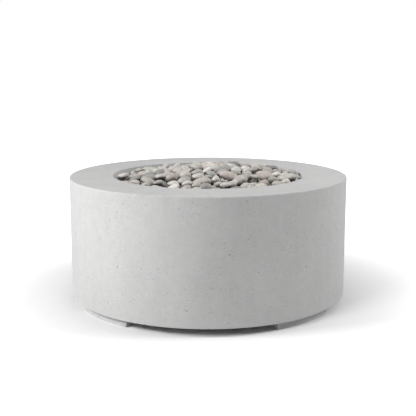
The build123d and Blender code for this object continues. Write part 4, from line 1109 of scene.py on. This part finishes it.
@dataclass
class Studio:
    """The pale floor, the soft lights and the camera."""

    camera_turn: float = 2.8  # degrees
    camera_distance: float = 2.953
    camera_height: float = 0.8738
    camera_pitch: float = 10.51  # degrees down
    lens: float = 69.46  # mm, as the sensor
    sensor_width: float = 36.0
    floor_half: float = 30.0
    floor_drop: float = 0.0004
    floor_shade: float = 0.75
    floor_grain: Noise = Noise(3.0, 3.0, 0.5, 0.99, 1.0)
    floor_roughness: float = 0.9
    floor_specular: float = 0.1
    floor_lift: float = 1.0
    lift_reach: Span = (0.54, 1.35)  # metres from the middle
    sky: float = 0.07
    sky_seen: float = 1.0  # white
    lights: tuple[SoftBox, ...] = (
        SoftBox("left high", (-4.6, -1.2, 3.4), (0.0, 0.0, 0.25), 2.6, 1.2, 184.0),
        SoftBox("left", (-5.2, -1.3, 2.4), (0.0, 0.0, 0.25), 2.6, 1.0, 106.0),
        SoftBox("front left", (-2.9, -3.8, 3.4), (0.0, 0.0, 0.25), 2.4, 1.4, 148.0),
        SoftBox("low front", (-1.6, -2.5, 0.35), (-0.3, -0.45, 0.1), 1.4, 0.4, 6.0),
        SoftBox("right", (4.6, 0.0, 3.3), (0.0, 0.0, 0.25), 2.2, 1.2, 200.0),
        SoftBox("top right", (1.3, 0.4, 1.9), (0.3, 0.0, 0.45), 1.2, 1.2, 9.0),
    )

    def build_camera(self) -> None:
        """Put the camera where the photograph was taken."""
        data = bpy.data.cameras.new("camera")
        data.lens = self.lens
        data.sensor_width = self.sensor_width
        data.sensor_fit = "HORIZONTAL"
        camera = bpy.data.objects.new("camera", data)
        turn = math.radians(self.camera_turn)
        camera.location = (
            self.camera_distance * math.sin(turn), -self.camera_distance * math.cos(turn), self.camera_height
        )
        camera.rotation_euler = (math.radians(90.0 - self.camera_pitch), 0.0, turn)
        bpy.context.scene.collection.objects.link(camera)
        bpy.context.scene.camera = camera

    def build_floor(self) -> None:
        """Lay the floor: one pale shade, which glows white to the eye away from the fire pit."""
        half = self.floor_half
        corners = [(-half, -half, 0), (half, -half, 0), (half, half, 0), (-half, half, 0)]
        mesh = bpy.data.meshes.new("floor")
        mesh.from_pydata(corners, [], [(0, 1, 2, 3)])
        floor = bpy.data.objects.new("floor", mesh)
        floor.location.z = -self.floor_drop
        bpy.context.scene.collection.objects.link(floor)
        surface = Surface("studio floor")
        _, grain = surface.noise(self.floor_grain)
        away = surface.span(surface.vector("LENGTH", surface.place), self.lift_reach, 0.0, self.floor_lift)
        mesh.materials.append(surface.close({
            "Base Color": surface.vector("SCALE", WHITE, surface.times(grain, self.floor_shade)),
            "Roughness": self.floor_roughness,
            "Specular IOR Level": self.floor_specular,
            "Emission Color": WHITE,
            "Emission Strength": surface.times(surface.looked_at(), away),
        }))

    def build_sky(self) -> None:
        """Surround the studio with soft white light, pure white where it is looked at."""
        world = bpy.data.worlds.new("studio")
        world.use_nodes = True
        bpy.context.scene.world = world
        world.node_tree.nodes.clear()
        graph = Graph(world.node_tree)
        strength = graph.span(graph.looked_at(), (0.0, 1.0), self.sky, self.sky_seen)
        shader = graph.node("ShaderNodeBackground", {"Color": WHITE, "Strength": strength})
        graph.node("ShaderNodeOutputWorld", {"Surface": shader.outputs["Background"]})

    def build(self) -> None:
        """Set everything up."""
        bpy.context.scene.view_settings.view_transform = "Standard"
        self.build_camera()
        self.build_floor()
        self.build_sky()
        for light in self.lights:
            light.build()


def main() -> None:
    """Dress the fire pit, heap its stones and set up the studio."""
    logging.basicConfig(level=logging.INFO, format="%(name)s %(message)s")
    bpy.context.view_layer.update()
    wardrobe = Wardrobe()
    for assembly in (Casting(), Burner(), GasTrain(), Controls()):
        assembly.dress(wardrobe)
    StoneHeap().build()
    Studio().build()


if __name__ == "__main__":
    main()
